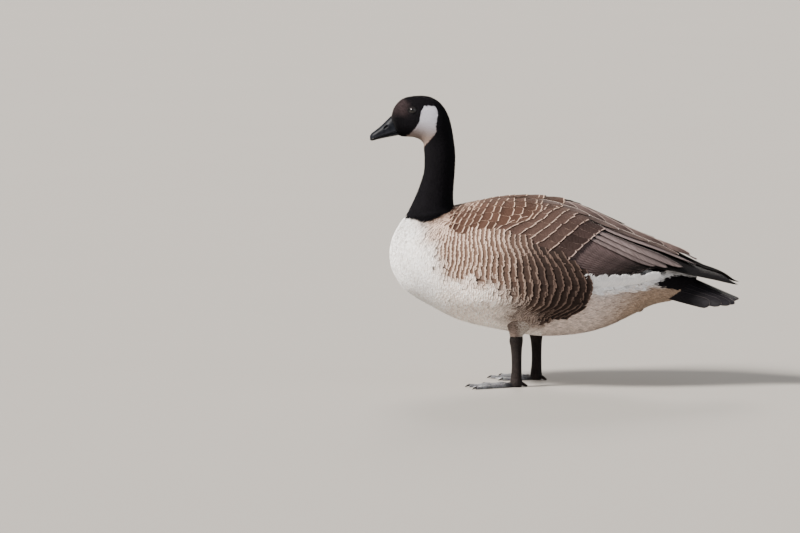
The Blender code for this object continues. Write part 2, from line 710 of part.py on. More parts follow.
def main():
    clear_scene()
    home = collection("canada_goose")
    finish = {name: material(name) for name in COLOURS}
    head(home, finish["black"])
    eyes(home, finish["eye"])
    bill(home, finish["bill"])
    shade_round(loft("neck", flesh_rings(NECK_STARTS + NECK_CUT, TORSO_STARTS, 10), home, finish["black"]))
    torso(home, finish["body"])
    for side in (1, -1):
        wing(home, finish["wing"], side)
        thigh(side, home, finish["body"])
        name = "leg_left" if side > 0 else "leg_right"
        shade_round(column(name, SHANK, side, 12, 16, home, finish["leg"]))
        foot(side, home, finish["leg"])
    tail(home, finish["tail"])


main()
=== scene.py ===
# Canada goose standing with folded wings: skin, plumage, bill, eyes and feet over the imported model.
# Sizes are in millimetres until a mesh is made. The bird faces -Y and its left side is +X.
import math
import time

import bpy
import numpy as np
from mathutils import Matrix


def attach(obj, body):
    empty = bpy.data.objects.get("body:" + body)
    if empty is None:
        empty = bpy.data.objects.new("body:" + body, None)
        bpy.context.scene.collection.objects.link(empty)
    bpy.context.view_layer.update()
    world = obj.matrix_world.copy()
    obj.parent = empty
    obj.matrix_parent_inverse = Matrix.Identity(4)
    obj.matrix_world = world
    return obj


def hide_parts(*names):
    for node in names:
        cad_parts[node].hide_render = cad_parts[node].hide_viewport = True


started = time.time()
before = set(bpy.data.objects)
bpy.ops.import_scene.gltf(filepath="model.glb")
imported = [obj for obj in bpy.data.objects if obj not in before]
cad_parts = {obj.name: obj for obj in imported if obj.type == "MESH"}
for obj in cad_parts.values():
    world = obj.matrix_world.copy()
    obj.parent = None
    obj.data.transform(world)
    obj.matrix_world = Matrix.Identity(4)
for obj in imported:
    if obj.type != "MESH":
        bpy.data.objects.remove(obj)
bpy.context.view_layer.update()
chance = np.random.default_rng(7)


def report(stage):
    print(f"{stage}, {time.time() - started:.0f} s")


# Small tools for arrays

def smoothStep(value, low=0.0, high=1.0):
    # 0 below low, 1 above high, with a soft start and end between; low may be the larger
    part = np.clip((np.asarray(value, float) - low) / (high - low), 0, 1)
    return part * part * (3 - 2 * part)


def curveThrough(rows, place):
    # a smooth cubic through rows of numbers, read at fractional places
    place = np.clip(np.asarray(place, float).ravel(), 0, len(rows) - 1)
    low = np.minimum(place.astype(int), len(rows) - 2)
    part = (place - low)[:, None]
    before, after = rows[np.maximum(low - 1, 0)], rows[np.minimum(low + 2, len(rows) - 1)]
    here, there = rows[low], rows[low + 1]
    return 0.5 * (2 * here + (there - before) * part
                  + (2 * before - 5 * here + 4 * there - after) * part ** 2
                  + (3 * here - before - 3 * there + after) * part ** 3)


def curveOver(rows, y):
    # the same curve for a table whose first column is y
    return curveThrough(rows, np.interp(np.ravel(y), rows[:, 0], np.arange(len(rows))))


def unit(vectors):
    return vectors / np.maximum(np.linalg.norm(vectors, axis=-1, keepdims=True), 1e-9)


def dot(a, b):
    return (a * b).sum(-1)


def blend(a, b, part):
    # a where part is 0 and b where it is 1, for colours in the last axis
    part = np.asarray(part, float)[..., None]
    return np.asarray(a, float) * (1 - part) + np.asarray(b, float) * part


def ripple(x, y, z, size, seed=0):
    # a smooth random field between about -1 and 1: the mean of slanted sine waves of one wavelength
    draw = np.random.default_rng(seed)
    total = 0
    for _ in range(7):
        way = unit(draw.normal(size=3)) * 2 * math.pi / size * draw.uniform(0.6, 1.5)
        total = total + np.sin(x * way[0] + y * way[1] + z * way[2] + draw.uniform(0, 6.3))
    return total / 3.2


# Shape of the flesh, the same sections as the solids' with the tail's root added:
# back y, back z, belly y, belly z, half width, share of the height at which it is widest
fleshRows = np.array([
    (-281.6, 461.8, -267, 426, 14.0, 0.45), (-275, 478, -259, 425, 18.5, 0.42), (-261, 491, -250, 425, 22.5, 0.42),
    (-237, 496, -241, 424, 25.0, 0.42), (-214, 494, -233, 421, 25.5, 0.44), (-195, 482, -228, 417, 25.0, 0.48),
    (-182, 460, -225, 412, 24.0, 0.50), (-175, 430, -225, 404, 22.5, 0.50), (-171, 396, -224, 390, 22.5, 0.50),
    (-172, 365, -225, 366, 23.0, 0.50), (-174, 340, -231, 345, 25.0, 0.50), (-175, 322, -241, 320, 31.0, 0.50),
    (-174, 308, -255, 292, 39.0, 0.50), (-171, 302, -270, 270, 50.0, 0.50), (-168, 303, -281, 246, 63.0, 0.50),
    (-165, 305, -284, 218, 74.0, 0.50), (-162, 307, -277, 190, 83.0, 0.50), (-160, 308, -255, 160, 90.0, 0.50),
    (-157, 309, -213, 134, 95.0, 0.50), (-146, 313, -160, 109, 100.0, 0.50), (-93, 322, -93, 94, 105.5, 0.50),
    (-25, 325, -25, 84, 107.0, 0.50), (36, 314, 36, 87, 101.0, 0.50), (87, 284, 87, 99, 87.0, 0.52),
    (139, 248, 134, 121, 66.0, 0.50), (180, 222, 168, 138, 47.0, 0.50), (208, 207, 201, 146, 33.0, 0.50),
    (226, 199, 219, 152, 25.0, 0.50), (246, 190, 241, 164, 14.0, 0.50),
])
sockEnds, neckEnds, breastEnds, torsoEnds = 7.5, 12.0, 19.0, 26.0  # places in the list
fullness = 0.92  # 1 is an ellipse, less is squarer


def fleshPoint(place, angle, grow=0.0):
    # a ring of a squarish oval set between the back's and the belly's line, the angle running from the back
    shape = curveThrough(fleshRows, place).reshape(np.shape(place) + (6,))
    back, belly, width, share = shape[..., 0:2], shape[..., 2:4], shape[..., 4], shape[..., 5]
    tall = np.linalg.norm(back - belly, axis=-1)
    up = (back - belly) / tall[..., None]
    middle = belly + share[..., None] * (back - belly)
    cosine, sine = np.cos(angle), np.sin(angle)
    reach = np.where(cosine > 0, tall * (1 - share), tall * share) + grow
    rise = np.sign(cosine) * np.abs(cosine) ** fullness * reach
    side = np.sign(sine) * np.abs(sine) ** fullness * (width + grow)
    return np.stack([side, middle[..., 0] + rise * up[..., 0], middle[..., 1] + rise * up[..., 1]], -1)


class Chart:
    # A surface kept as a table of points over two parameters, read between its lines, with its
    # outward direction and how far a step in either parameter goes.
    def __init__(self, first, second, points, inside):
        self.first, self.second, self.points = first, second, points
        self.along = np.gradient(points, first, axis=0)
        self.across = np.gradient(points, second, axis=1)
        out = np.cross(self.along, self.across)
        self.out = unit(out * np.sign(dot(out, points - inside))[..., None])

    def read(self, table, p, q):
        # bilinear reading of a table at parameters p and q
        row = np.interp(p, self.first, np.arange(len(self.first)))
        column = np.interp(q, self.second, np.arange(len(self.second)))
        i = np.minimum(row.astype(int), len(self.first) - 2)
        j = np.minimum(column.astype(int), len(self.second) - 2)
        a, b = (row - i)[..., None], (column - j)[..., None]
        return (table[i, j] * (1 - a) * (1 - b) + table[i + 1, j] * a * (1 - b)
                + table[i, j + 1] * (1 - a) * b + table[i + 1, j + 1] * a * b)

    def steps(self, p, q, way):
        # how far to go in each parameter to move by a vector way along the surface
        u, v = self.read(self.along, p, q), self.read(self.across, p, q)
        uu, uv, vv, wu, wv = dot(u, u), dot(u, v), dot(v, v), dot(way, u), dot(way, v)
        area = np.maximum(uu * vv - uv * uv, 1e-6 * uu * vv + 1e-12)
        return (wu * vv - wv * uv) / area, (wv * uu - wu * uv) / area


def wrapped(first, sideAngles, points):
    # the middle line of a flesh table, as points well inside the body
    middle = points.mean(axis=1, keepdims=True)
    return Chart(first, sideAngles, points, middle)


# Head and neck are charted by place, the body by rows of feathers counted back and forth from a ring
# behind the breast, so that the rows stand upright along the flank and fan out round the breast.

bodyRows = {  # length of a row at places in the list of sections
    "place": [11, 13, 15, 17, 18, 19, 20, 21, 22, 23, 26, 28],
    "flank": [3.4, 4.0, 4.8, 5.8, 7.2, 8.4, 9.8, 12.2, 14.0, 11.0, 7.5, 7.0],
    "belly": [3.4, 4.0, 4.8, 5.4, 5.5, 5.6, 5.6, 5.6, 6.0, 6.5, 7.0, 6.5],
    "back": [3.4, 4.4, 5.6, 6.4, 7.0, 7.5, 9.0, 10.0, 10.0, 9.0, 7.5, 6.5],
}
tableAngles = np.linspace(-3.5, 3.5, 401)  # a little past half a turn, for feathers that cross the middle line


def rowLength(place, angle):
    # length of a row, mixed from the flank's, the belly's and the back's by the angle from the back
    down = math.pi - np.abs(math.pi - np.abs(angle))
    flank, belly, back = (np.interp(place, bodyRows["place"], bodyRows[k]) for k in ("flank", "belly", "back"))
    # the flank's rows bow backward half way down
    flank = flank * (1 - 0.17 * smoothStep(down, 1.75, 1.1) - 0.20 * smoothStep(down, 1.95, 2.3) * (place > 16))
    low = smoothStep(down, 2.3, 2.8)
    high = smoothStep(down, 1.0, 0.6)
    return flank * (1 - low) * (1 - high) + belly * low + back * high


def headChart():
    places = np.linspace(0, 13.2, 500)
    grid = np.meshgrid(places, tableAngles, indexing="ij")
    return wrapped(places, tableAngles, fleshPoint(*grid))


def bodyChart():
    # for each line from front to back the running length, in rows, is turned round into places
    places = np.linspace(10.6, 28, 1600)
    grid = np.meshgrid(places, tableAngles, indexing="ij")
    points = fleshPoint(*grid)
    step = np.linalg.norm(np.diff(points, axis=0), axis=-1)
    middle = [(a[1:] + a[:-1]) / 2 for a in grid]
    count = np.concatenate([np.zeros((1, len(tableAngles))), np.cumsum(step / rowLength(*middle), axis=0)])
    ring = np.argmin(np.abs(places - breastEnds))
    count -= count[ring]
    rows = np.arange(math.floor(count.min()), math.ceil(count.max()), 0.25)
    placeAt = np.stack([np.interp(rows, count[:, j], places) for j in range(len(tableAngles))], axis=1)
    chart = wrapped(rows, tableAngles, fleshPoint(placeAt, grid[1][:1] + 0 * placeAt))
    chart.place = placeAt[..., None]
    # past the ends the table stands still, so each line's own ends are kept
    chart.ends = count[0], count[-1]
    return chart


headMap = headChart()
bodyMap = bodyChart()
report("Charts of the flesh")


# Meshes

def makePiece(name, points, faces, finish, uvs=None, colours=None, numbers=None, smooth=True):
    # points in millimetres, faces as a list of index arrays of three or four columns; uvs are given
    # point by point, colours and numbers are kept as attributes of the points
    mesh = bpy.data.meshes.new(name)
    points = np.asarray(points, float).reshape(-1, 3) * 0.001
    faces = [np.asarray(f, np.int32) for f in faces if len(f)]
    corners = np.concatenate([f.ravel() for f in faces])
    totals = np.concatenate([np.full(len(f), f.shape[1], np.int32) for f in faces])
    mesh.vertices.add(len(points))
    mesh.vertices.foreach_set("co", points.ravel())
    mesh.loops.add(len(corners))
    mesh.loops.foreach_set("vertex_index", corners)
    mesh.polygons.add(len(totals))
    mesh.polygons.foreach_set("loop_start", np.concatenate([[0], np.cumsum(totals)[:-1]]).astype(np.int32))
    mesh.polygons.foreach_set("loop_total", totals)
    mesh.polygons.foreach_set("use_smooth", np.full(len(totals), smooth))
    for key, values in (uvs or {}).items():
        layer = mesh.uv_layers.new(name=key)
        layer.data.foreach_set("uv", np.asarray(values, np.float32).reshape(-1, 2)[corners].ravel())
    for key, values in (colours or {}).items():
        values = np.asarray(values, np.float32).reshape(-1, 3)
        layer = mesh.attributes.new(key, "FLOAT_COLOR", "POINT")
        layer.data.foreach_set("color", np.column_stack([values, np.ones(len(values))]).ravel())
    for key, values in (numbers or {}).items():
        layer = mesh.attributes.new(key, "FLOAT", "POINT")
        layer.data.foreach_set("value", np.asarray(values, np.float32).ravel())
    mesh.materials.append(finish)
    mesh.update(calc_edges=True)
    piece = bpy.data.objects.new(name, mesh)
    bpy.context.scene.collection.objects.link(piece)
    return piece


def gridFaces(rows, columns, turned=False, first=0):
    # the four-cornered faces of one grid of points
    a = first + (np.arange(rows - 1)[:, None] * columns + np.arange(columns - 1)).ravel()
    faces = np.stack([a, a + 1, a + columns + 1, a + columns], -1)
    return faces[:, ::-1] if turned else faces


def tubeFaces(rings, around, first=0, turned=False, capped=True):
    # the faces of a closed tube of rings, with a flat face at each end made of a fan of thin ones
    i, j = np.arange(rings - 1)[:, None] * around, np.arange(around)
    a, b = (i + j).ravel(), (i + (j + 1) % around).ravel()
    side = np.stack([a, b, b + around, a + around], -1) + first
    fans = []
    if capped:
        fan = np.stack([np.zeros(around - 2, int), np.arange(2, around), np.arange(1, around - 1)], -1)
        fans = [fan + first, fan[:, ::-1] + (rings - 1) * around + first]
    faces = [side] + fans
    return [f[:, ::-1] for f in faces] if turned else faces


def joined(parts):
    # several (points, faces) made into one list of points and faces
    points, faces, count = [], [], 0
    for some, theirs in parts:
        some = np.asarray(some).reshape(-1, 3)
        faces += [np.asarray(f) + count for f in theirs]
        points.append(some)
        count += len(some)
    return np.concatenate(points), faces


def facingOut(points, faces, first=0):
    # whether the faces of one closed shape look outward: the volume they enclose is then above 0
    points = np.asarray(points).reshape(-1, 3)
    total = 0.0
    for f in faces:
        for k in range(1, f.shape[1] - 1):
            a, b, c = points[f[:, 0]], points[f[:, k]], points[f[:, k + 1]]
            total += dot(a, np.cross(b, c)).sum()
    return total > 0


def outward(points, faces):
    return faces if facingOut(points, faces) else [f[:, ::-1] for f in faces]


class Vanes:
    # Feathers gathered for one piece. Each is a grid of points with its distance from the feather's
    # outline, its own lengthways and sideways millimetres, two colours and a patch of the bake's map.
    def __init__(self):
        self.parts = []
        self.count = 0

    def add(self, points, rim, vane, tone, edge, patch, closed=False):
        # points, rim and vane are by feather, row and column; closed ones have an upper and a lower grid
        number, rows, columns = points.shape[:3]
        shape = (number, rows, columns, 3)
        base = (np.arange(number) * rows * columns)[:, None, None]
        if closed:
            half = rows // 2
            top = gridFaces(half, columns)
            under = gridFaces(half, columns, True, half * columns)
            ring = np.concatenate([
                np.arange(columns), np.arange(1, half) * columns + columns - 1,
                (half - 1) * columns + np.arange(columns - 2, -1, -1), np.arange(half - 2, 0, -1) * columns])
            after = np.roll(ring, -1)
            wall = np.stack([ring, ring + half * columns, after + half * columns, after], -1)
            one = np.concatenate([top, under, wall])
        else:
            one = gridFaces(rows, columns)
        faces = (one[None] + base).reshape(-1, 4) + self.count
        self.parts.append((
            points.reshape(-1, 3), faces, rim.reshape(-1), vane.reshape(-1, 2),
            np.broadcast_to(tone if tone.ndim == 4 else tone.reshape(number, -1, 1, 3), shape).reshape(-1, 3),
            np.broadcast_to(edge[:, None, None], shape).reshape(-1, 3), patch.reshape(-1, 2)))
        self.count += number * rows * columns

    def build(self, name, finish, slot, nodes=()):
        points, faces, rim, vane, tone, edge, patch = (np.concatenate(k) for k in zip(*self.parts))
        piece = makePiece(name, points, [faces], finish, {"vane": vane * 0.001, "OFBake": patch},
                          {"tone": tone, "edge": edge}, {"rim": rim})
        settle(piece, nodes)
        report(f"{name}: {2 * len(faces)} triangles")
        return piece


def settle(piece, nodes=()):
    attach(piece, "root")
    if nodes:
        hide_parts(*nodes)


def shaped(t, shape):
    # half width of a feather along its length, as a share of its widest: a root that widens to the
    # middle, then a tip rounded as a quarter of an oval over its last part as far as its blunt end
    root, widest, rounding, blunt = shape
    body = root + (1 - root) * smoothStep(t, 0, widest)
    over = np.clip((t - (1 - rounding)) / rounding, 0, 1)
    return body * np.sqrt(np.maximum(1 - over ** 2, blunt))


def feathers(chart, p, q, look, sunk=None):
    # Single-sheet feathers on a chart from their roots: each runs along the chart's first direction,
    # veered, follows the surface as it goes and lifts off it towards its tip.
    number = len(p)
    t = np.asarray(look["rows"], float)
    u = np.asarray(look["columns"], float)
    value = {k: np.broadcast_to(np.asarray(look[k], float), number) for k in (
        "length", "width", "veer", "lowest", "highest", "camber", "ragged", "roll", "rimSide", "bare", "follow")}
    forward = unit(chart.read(chart.along, p, q))
    out = unit(chart.read(chart.out, p, q))
    side = unit(np.cross(forward, out))
    way = forward * np.cos(value["veer"])[:, None] + side * np.sin(value["veer"])[:, None]
    aside = np.cross(way, out)
    alongP, alongQ = chart.steps(p, q, way)
    acrossP, acrossQ = chart.steps(p, q, aside)
    outline = shaped(t, [np.reshape(s, (-1, 1)) for s in look["shape"]])[..., None]
    wide = outline * value["width"][:, None, None] * u[None, None, :]
    uneven = chance.uniform(-1, 1, (number, 1, len(u))) * value["ragged"][:, None, None] * (t ** 6)[None, :, None]
    # the end is cut along the row that the feather belongs to
    row = chart.read(chart.across, p, q)
    over = dot(row, aside)
    slant = np.clip(dot(row, way) / np.where(np.abs(over) < 1e-6, 1e-6, over), -1.2, 1.2) * value["follow"]
    uneven = uneven + slant[:, None, None] * wide * (t ** 2)[None, :, None]
    far = value["length"][:, None, None] * t[None, :, None] + uneven
    ps = p[:, None, None] + alongP[:, None, None] * far + acrossP[:, None, None] * wide
    qs = q[:, None, None] + alongQ[:, None, None] * far + acrossQ[:, None, None] * wide
    rise = (value["lowest"][:, None, None] + (value["highest"] - value["lowest"])[:, None, None] * (t ** 1.2)[None, :, None]
            - value["camber"][:, None, None] * (u ** 2)[None, None, :]
            + value["roll"][:, None, None] * u[None, None, :])
    if sunk is not None:
        rise = rise + sunk(ps, qs)
    points = chart.read(chart.points, ps, qs) + unit(chart.read(chart.out, ps, qs)) * rise[..., None]
    atEdge = (1 - np.abs(u))[None, None, :] * value["width"][:, None, None] * outline
    rim = np.minimum(atEdge * value["rimSide"][:, None, None] + value["bare"][:, None, None],
                     value["length"][:, None, None] * (1 - t)[None, :, None])
    vane = np.stack([wide, far + 0 * wide], -1)
    return points, rim, vane, t, u


def patches(place, t, u, size=0.003):
    # a small patch of the bake's map for each feather, at its root's place
    shape = (len(place), len(t), len(u))
    spot = np.zeros(shape + (2,))
    spot[..., 0] = place[:, None, None, 0] + size * 0.5 * u[None, None, :]
    spot[..., 1] = place[:, None, None, 1] + size * (t - 0.5)[None, :, None]
    return spot


# Materials

class Wire:
    # a socket that ordinary arithmetic can be written with
    def __init__(self, finish, socket):
        self.finish, self.socket = finish, socket

    def maths(self, operation, first, second=None):
        values = {0: first} if second is None else {0: first, 1: second}
        return self.finish.node("ShaderNodeMath", {"operation": operation}, values)

    def __add__(self, other):
        return self.maths("ADD", self, other)

    def __radd__(self, other):
        return self.maths("ADD", other, self)

    def __sub__(self, other):
        return self.maths("SUBTRACT", self, other)

    def __rsub__(self, other):
        return self.maths("SUBTRACT", other, self)

    def __mul__(self, other):
        return self.maths("MULTIPLY", self, other)

    def __rmul__(self, other):
        return self.maths("MULTIPLY", other, self)

    def __truediv__(self, other):
        return self.maths("DIVIDE", self, other)

    def __rtruediv__(self, other):
        return self.maths("DIVIDE", other, self)

    def __abs__(self):
        return self.maths("ABSOLUTE", self)

    def most(self, other):
        return self.maths("MAXIMUM", self, other)

    def least(self, other):
        return self.maths("MINIMUM", self, other)

    def sine(self):
        return self.maths("SINE", self)

    def ramp(self, low, high):
        # 0 below low, 1 above high, soft between; low may be the larger
        flip = low > high
        made = self.finish.node("ShaderNodeMapRange", {"interpolation_type": "SMOOTHSTEP"}, {
            "Value": self, "From Min": min(low, high), "From Max": max(low, high)}, "Result")
        return 1 - made if flip else made


class Finish:
    # one material's nodes
    def __init__(self, name, **constants):
        self.material = bpy.data.materials.new(name)
        self.material.use_nodes = True
        self.nodes, self.links = self.material.node_tree.nodes, self.material.node_tree.links
        self.shader = self.nodes["Principled BSDF"]
        for key, value in constants.items():
            self.shader.inputs[key.replace("_", " ")].default_value = value

    def socket(self, node, key):
        if isinstance(key, int):
            return node.inputs[key]
        return next(s for s in node.inputs if s.enabled and key in (s.identifier, s.name))

    def node(self, kind, settings=None, values=None, result=0):
        # one node of a kind: its settings first, then its sockets, and the wire of its result
        made = self.nodes.new(kind)
        for key, value in (settings or {}).items():
            if key == "stops":
                ramp = made.color_ramp
                for place, colour in value[2:]:
                    ramp.elements.new(place)
                for element, (place, colour) in zip(ramp.elements, value):
                    element.position, element.color = place, (*colour, 1)
            else:
                setattr(made, key, value)
        for key, value in (values or {}).items():
            self.feed(self.socket(made, key), value)
        outputs = [s for s in made.outputs if s.enabled]
        found = outputs[result] if isinstance(result, int) else next(s for s in outputs if s.name == result)
        return Wire(self, found)

    def feed(self, socket, value):
        if isinstance(value, Wire):
            self.links.new(value.socket, socket)
        elif hasattr(socket.default_value, "__len__") and len(socket.default_value) == 4 and len(value) == 3:
            socket.default_value = (*value, 1)
        else:
            socket.default_value = value

    def give(self, key, value):
        self.feed(self.shader.inputs[key], value)

    def mix(self, first, second, part, kind="MIX"):
        return self.node("ShaderNodeMix", {"data_type": "RGBA", "blend_type": kind}, {
            "Factor_Float": part, "A_Color": first, "B_Color": second})

    def noise(self, where, scale, detail=2.0, rough=0.5, warp=0.0):
        return self.node("ShaderNodeTexNoise", {}, {
            "Vector": where, "Scale": scale, "Detail": detail, "Roughness": rough, "Distortion": warp}, "Fac")

    def vector(self, x, y, z=0.0):
        return self.node("ShaderNodeCombineXYZ", {}, {0: x, 1: y, 2: z})

    def place(self):
        return self.node("ShaderNodeTexCoord", {}, {}, "Object")

    def parts(self, vector):
        made = self.node("ShaderNodeSeparateXYZ", {}, {0: vector})
        return [Wire(self, s) for s in made.socket.node.outputs]

    def attribute(self, name, result="Color"):
        return self.node("ShaderNodeAttribute", {"attribute_name": name}, {}, result)

    def bump(self, height, strength, distance, normal=None):
        values = {"Height": height, "Strength": strength, "Distance": distance}
        if normal is not None:
            values["Normal"] = normal
        return self.node("ShaderNodeBump", {}, values)


def plumage(name, look):
    # A feather's web: its two colours parted along the outline, darker and lighter streaks running
    # with the barbs, a fine shaft, and a mottle over the whole coat.
    made = Finish(name, Roughness=look["roughness"], Sheen_Weight=look["sheen"], Sheen_Roughness=0.5,
                  Specular_IOR_Level=look["gloss"])
    x, y, _ = made.parts(made.node("ShaderNodeUVMap", {"uv_map": "vane"}, {}))
    across, along = abs(x) * 1000, y * 1000  # millimetres from the shaft and from the root
    where = made.place()
    barb = along - across * look["slant"]
    jitter = made.noise(where, 90.0, 2.0)
    streak = made.noise(made.vector(barb * 1.0, across * 0.12, jitter * 1.5), look["streaks"], 3.0, 0.6)
    fine = made.noise(made.vector(barb * 1.0, across * 0.05, 0.0), look["fine"], 1.0)
    fray = made.noise(made.vector(barb, across * 0.3, 3.0), 1.6, 2.0)
    rim = made.attribute("rim", "Fac")
    wander = made.noise(where, 75.0, 2.0)
    away = rim + (fray - 0.5) * look["fray"] + (wander - 0.5) * look["wander"]
    atRim = away.ramp(look["rim"] * look["soft"][0], look["rim"] * look["soft"][1])
    tone = made.attribute("tone")
    web = made.mix(tone, made.mix(tone, look["streakTint"], 1.0, "MULTIPLY"), streak.ramp(0.42, 0.66))
    mottle = made.noise(where, look["mottle"], 3.0, 0.6)
    web = made.mix(web, look["mottleTint"], mottle.ramp(0.45, 0.75) * look["mottled"], "MULTIPLY")
    shaft = across.ramp(0.55, 0.2) * look["shaft"]
    web = made.mix(web, made.mix(tone, look["shaftTint"], 1.0, "MULTIPLY"), shaft)
    made.give("Base Color", made.mix(web, made.attribute("edge"), atRim))
    made.give("Roughness", (look["roughness"] - 0.08) + streak * 0.16)
    height = fine * 0.5 + streak * 0.7
    made.give("Normal", made.bump(height, look["bump"], 0.0006))
    return made.material


plumageLooks = {
    "plain": dict(roughness=0.82, sheen=0.08, gloss=0.25, slant=0.9, streaks=1.1, fine=3.2, fray=0.7, rim=1.2,
                  streakTint=(0.80, 0.78, 0.76), mottle=60.0, mottleTint=(0.82, 0.80, 0.78), mottled=0.5, shaft=0.35, wander=0.0, soft=(1.25, 0.7),
                  shaftTint=(0.72, 0.70, 0.68), bump=0.55),
}


def plumageOf(name, **changes):
    return plumage(name, {**plumageLooks["plain"], **changes})


softFinish = plumageOf("softPlumage", streaks=0.42, rim=1.0, fray=1.2, shaft=0.15, sheen=0.1, mottled=0.8, mottle=190.0,
                       streakTint=(0.66, 0.63, 0.60), mottleTint=(0.74, 0.71, 0.68), bump=0.9)
whiteFinish = plumageOf("whitePlumage", streaks=0.42, rim=1.0, fray=1.0, shaft=0.1, sheen=0.1, mottled=0.5, mottle=190.0,
                        streakTint=(0.86, 0.85, 0.84), mottleTint=(0.90, 0.89, 0.88), bump=0.8)
blackFinish = plumageOf("blackPlumage", roughness=0.78, gloss=0.035, streaks=0.55, bump=1.0, rim=0.5, fray=0.4, shaft=0.2, sheen=0.0,
                        streakTint=(2.6, 2.5, 2.6), mottled=0.6)
barredFinish = plumageOf("barredPlumage", rim=1.75, fray=2.4, wander=3.0, soft=(1.7, 0.2), streaks=0.9, shaft=0.15, sheen=0.0, gloss=0.15)
wingFinish = plumageOf("wingPlumage", roughness=0.8, gloss=0.04, sheen=0.0, rim=1.45, fray=1.2, wander=2.6, soft=(1.5, 0.4), streaks=0.8, shaft=0.5,
                       streakTint=(0.72, 0.70, 0.69), bump=0.8)
cheekFinish = plumageOf("cheekPlumage", streaks=1.7, rim=0.8, fray=0.8, shaft=0.1, sheen=0.1, mottled=0.35,
                        streakTint=(0.84, 0.83, 0.82), mottle=110.0, mottleTint=(0.86, 0.84, 0.82))
flightFinish = plumageOf("flightPlumage", roughness=0.62, gloss=0.12, sheen=0.0, rim=0.8, fray=0.35, streaks=0.55, slant=1.7,
                         shaft=0.8, streakTint=(0.58, 0.56, 0.55), bump=0.9, mottled=0.3)
report("Plumage finishes")


# Colours of the coat. Everything is told from where a feather springs: its distance along the body,
# its height and its angle down from the back.

coatColours = {
    # crown: the black painted darker, to offset the light that falls on the top of the head
    "black": (0.0019, 0.00175, 0.0022), "crown": (0.0007, 0.0006, 0.0009), "tailBlack": (0.0075, 0.0066, 0.0080), "blackEdge": (0.0055, 0.005, 0.006), "forehead": (0.0165, 0.0118, 0.0122),
    # the cheek's white is painted grey-blue as shade on the side of the head, and darker towards its bottom as shade
    # under the head
    "cheek": (0.37, 0.36, 0.41), "cheekEdge": (0.44, 0.43, 0.48), "cheekShadeLow": (0.17, 0.122, 0.100),
    "breast": (0.93, 0.87, 0.82), "breastEdge": (0.96, 0.94, 0.92),
    "belly": (0.90, 0.75, 0.66), "bellyEdge": (0.95, 0.87, 0.80),
    "side": (0.125, 0.076, 0.056), "sideEdge": (0.52, 0.385, 0.31),
    "flank": (0.024, 0.0145, 0.0115), "flankEdge": (0.120, 0.080, 0.064),
    "mantle": (0.088, 0.050, 0.036), "mantleEdge": (0.46, 0.32, 0.25),
    # the vent's pale feathers are painted tan as shade on the underside, darker still further back under the tail
    "vent": (0.57, 0.46, 0.41), "ventEdge": (0.68, 0.58, 0.53), "hindVentShade": (0.245, 0.162, 0.110), "hindVentShadeEdge": (0.37, 0.27, 0.20),
    "rump": (0.90, 0.90, 0.93), "rumpEdge": (0.95, 0.95, 0.96), "lobe": (0.013, 0.0075, 0.006),
    # painted shade in the belly's hollow above the thighs
    "hollow": (0.115, 0.080, 0.065), "hollowEdge": (0.33, 0.255, 0.215),
}
# where the brown of the flank ends behind, in millimetres, by degrees down from the back
flankEnds = np.array([(0, 182), (55, 182), (66, 36), (83, 34), (90, 38), (102, 47), (111, 43), (121, 30), (128, 9),
                      (133, -16), (139, -28), (150, -32), (180, -30)])
# where the wing's lower edge lies, as degrees down from the back at y
wingEdge = np.array([(-157, 36), (-139, 59), (-104, 58.5), (-59, 66), (-27, 74), (-1, 76), (25, 85), (36, 91), (85, 90.5),
                     (152, 88), (235, 80)])
# y and z of the black's lower edge round the neck's root
sockHem = np.array([(-262, 298), (-257.5, 298), (-244.6, 294.5), (-232.6, 291), (-218.8, 288), (-208.5, 287.5),
                    (-198.2, 291), (-187.9, 298), (-174, 306), (-170, 340), (-160, 900)])
cheekPatch = np.array([  # y and z of its outline
    (-226, 476.8), (-223, 479.6), (-218, 480.8), (-209, 480.3), (-204.5, 478), (-202.2, 473.5), (-201.7, 467), (-202.6, 454),
    (-203.5, 442), (-206, 434), (-210.7, 425.6), (-218, 419.5), (-224, 413), (-240, 405), (-256, 412), (-257, 427.5),
    (-253, 428.8), (-246.7, 434.6), (-239.5, 442.7), (-234.1, 449.9), (-232.3, 458), (-230.5, 466), (-228.7, 472.3)])


def inside(outline, y, z):
    # how far a point lies inside an outline, in millimetres, below 0 outside
    start, end = outline, np.roll(outline, -1, axis=0)
    y, z = np.asarray(y, float)[..., None], np.asarray(z, float)[..., None]
    dy, dz = end[:, 0] - start[:, 0], end[:, 1] - start[:, 1]
    part = np.clip(((y - start[:, 0]) * dy + (z - start[:, 1]) * dz) / (dy * dy + dz * dz), 0, 1)
    away = np.hypot(y - start[:, 0] - part * dy, z - start[:, 1] - part * dz).min(-1)
    rises = (start[:, 1] > z) != (end[:, 1] > z)
    cuts = rises & (y < start[:, 0] + (z - start[:, 1]) * dy / np.where(dz == 0, 1e-9, dz))
    return away * np.where(cuts.sum(-1) % 2 == 1, 1, -1)


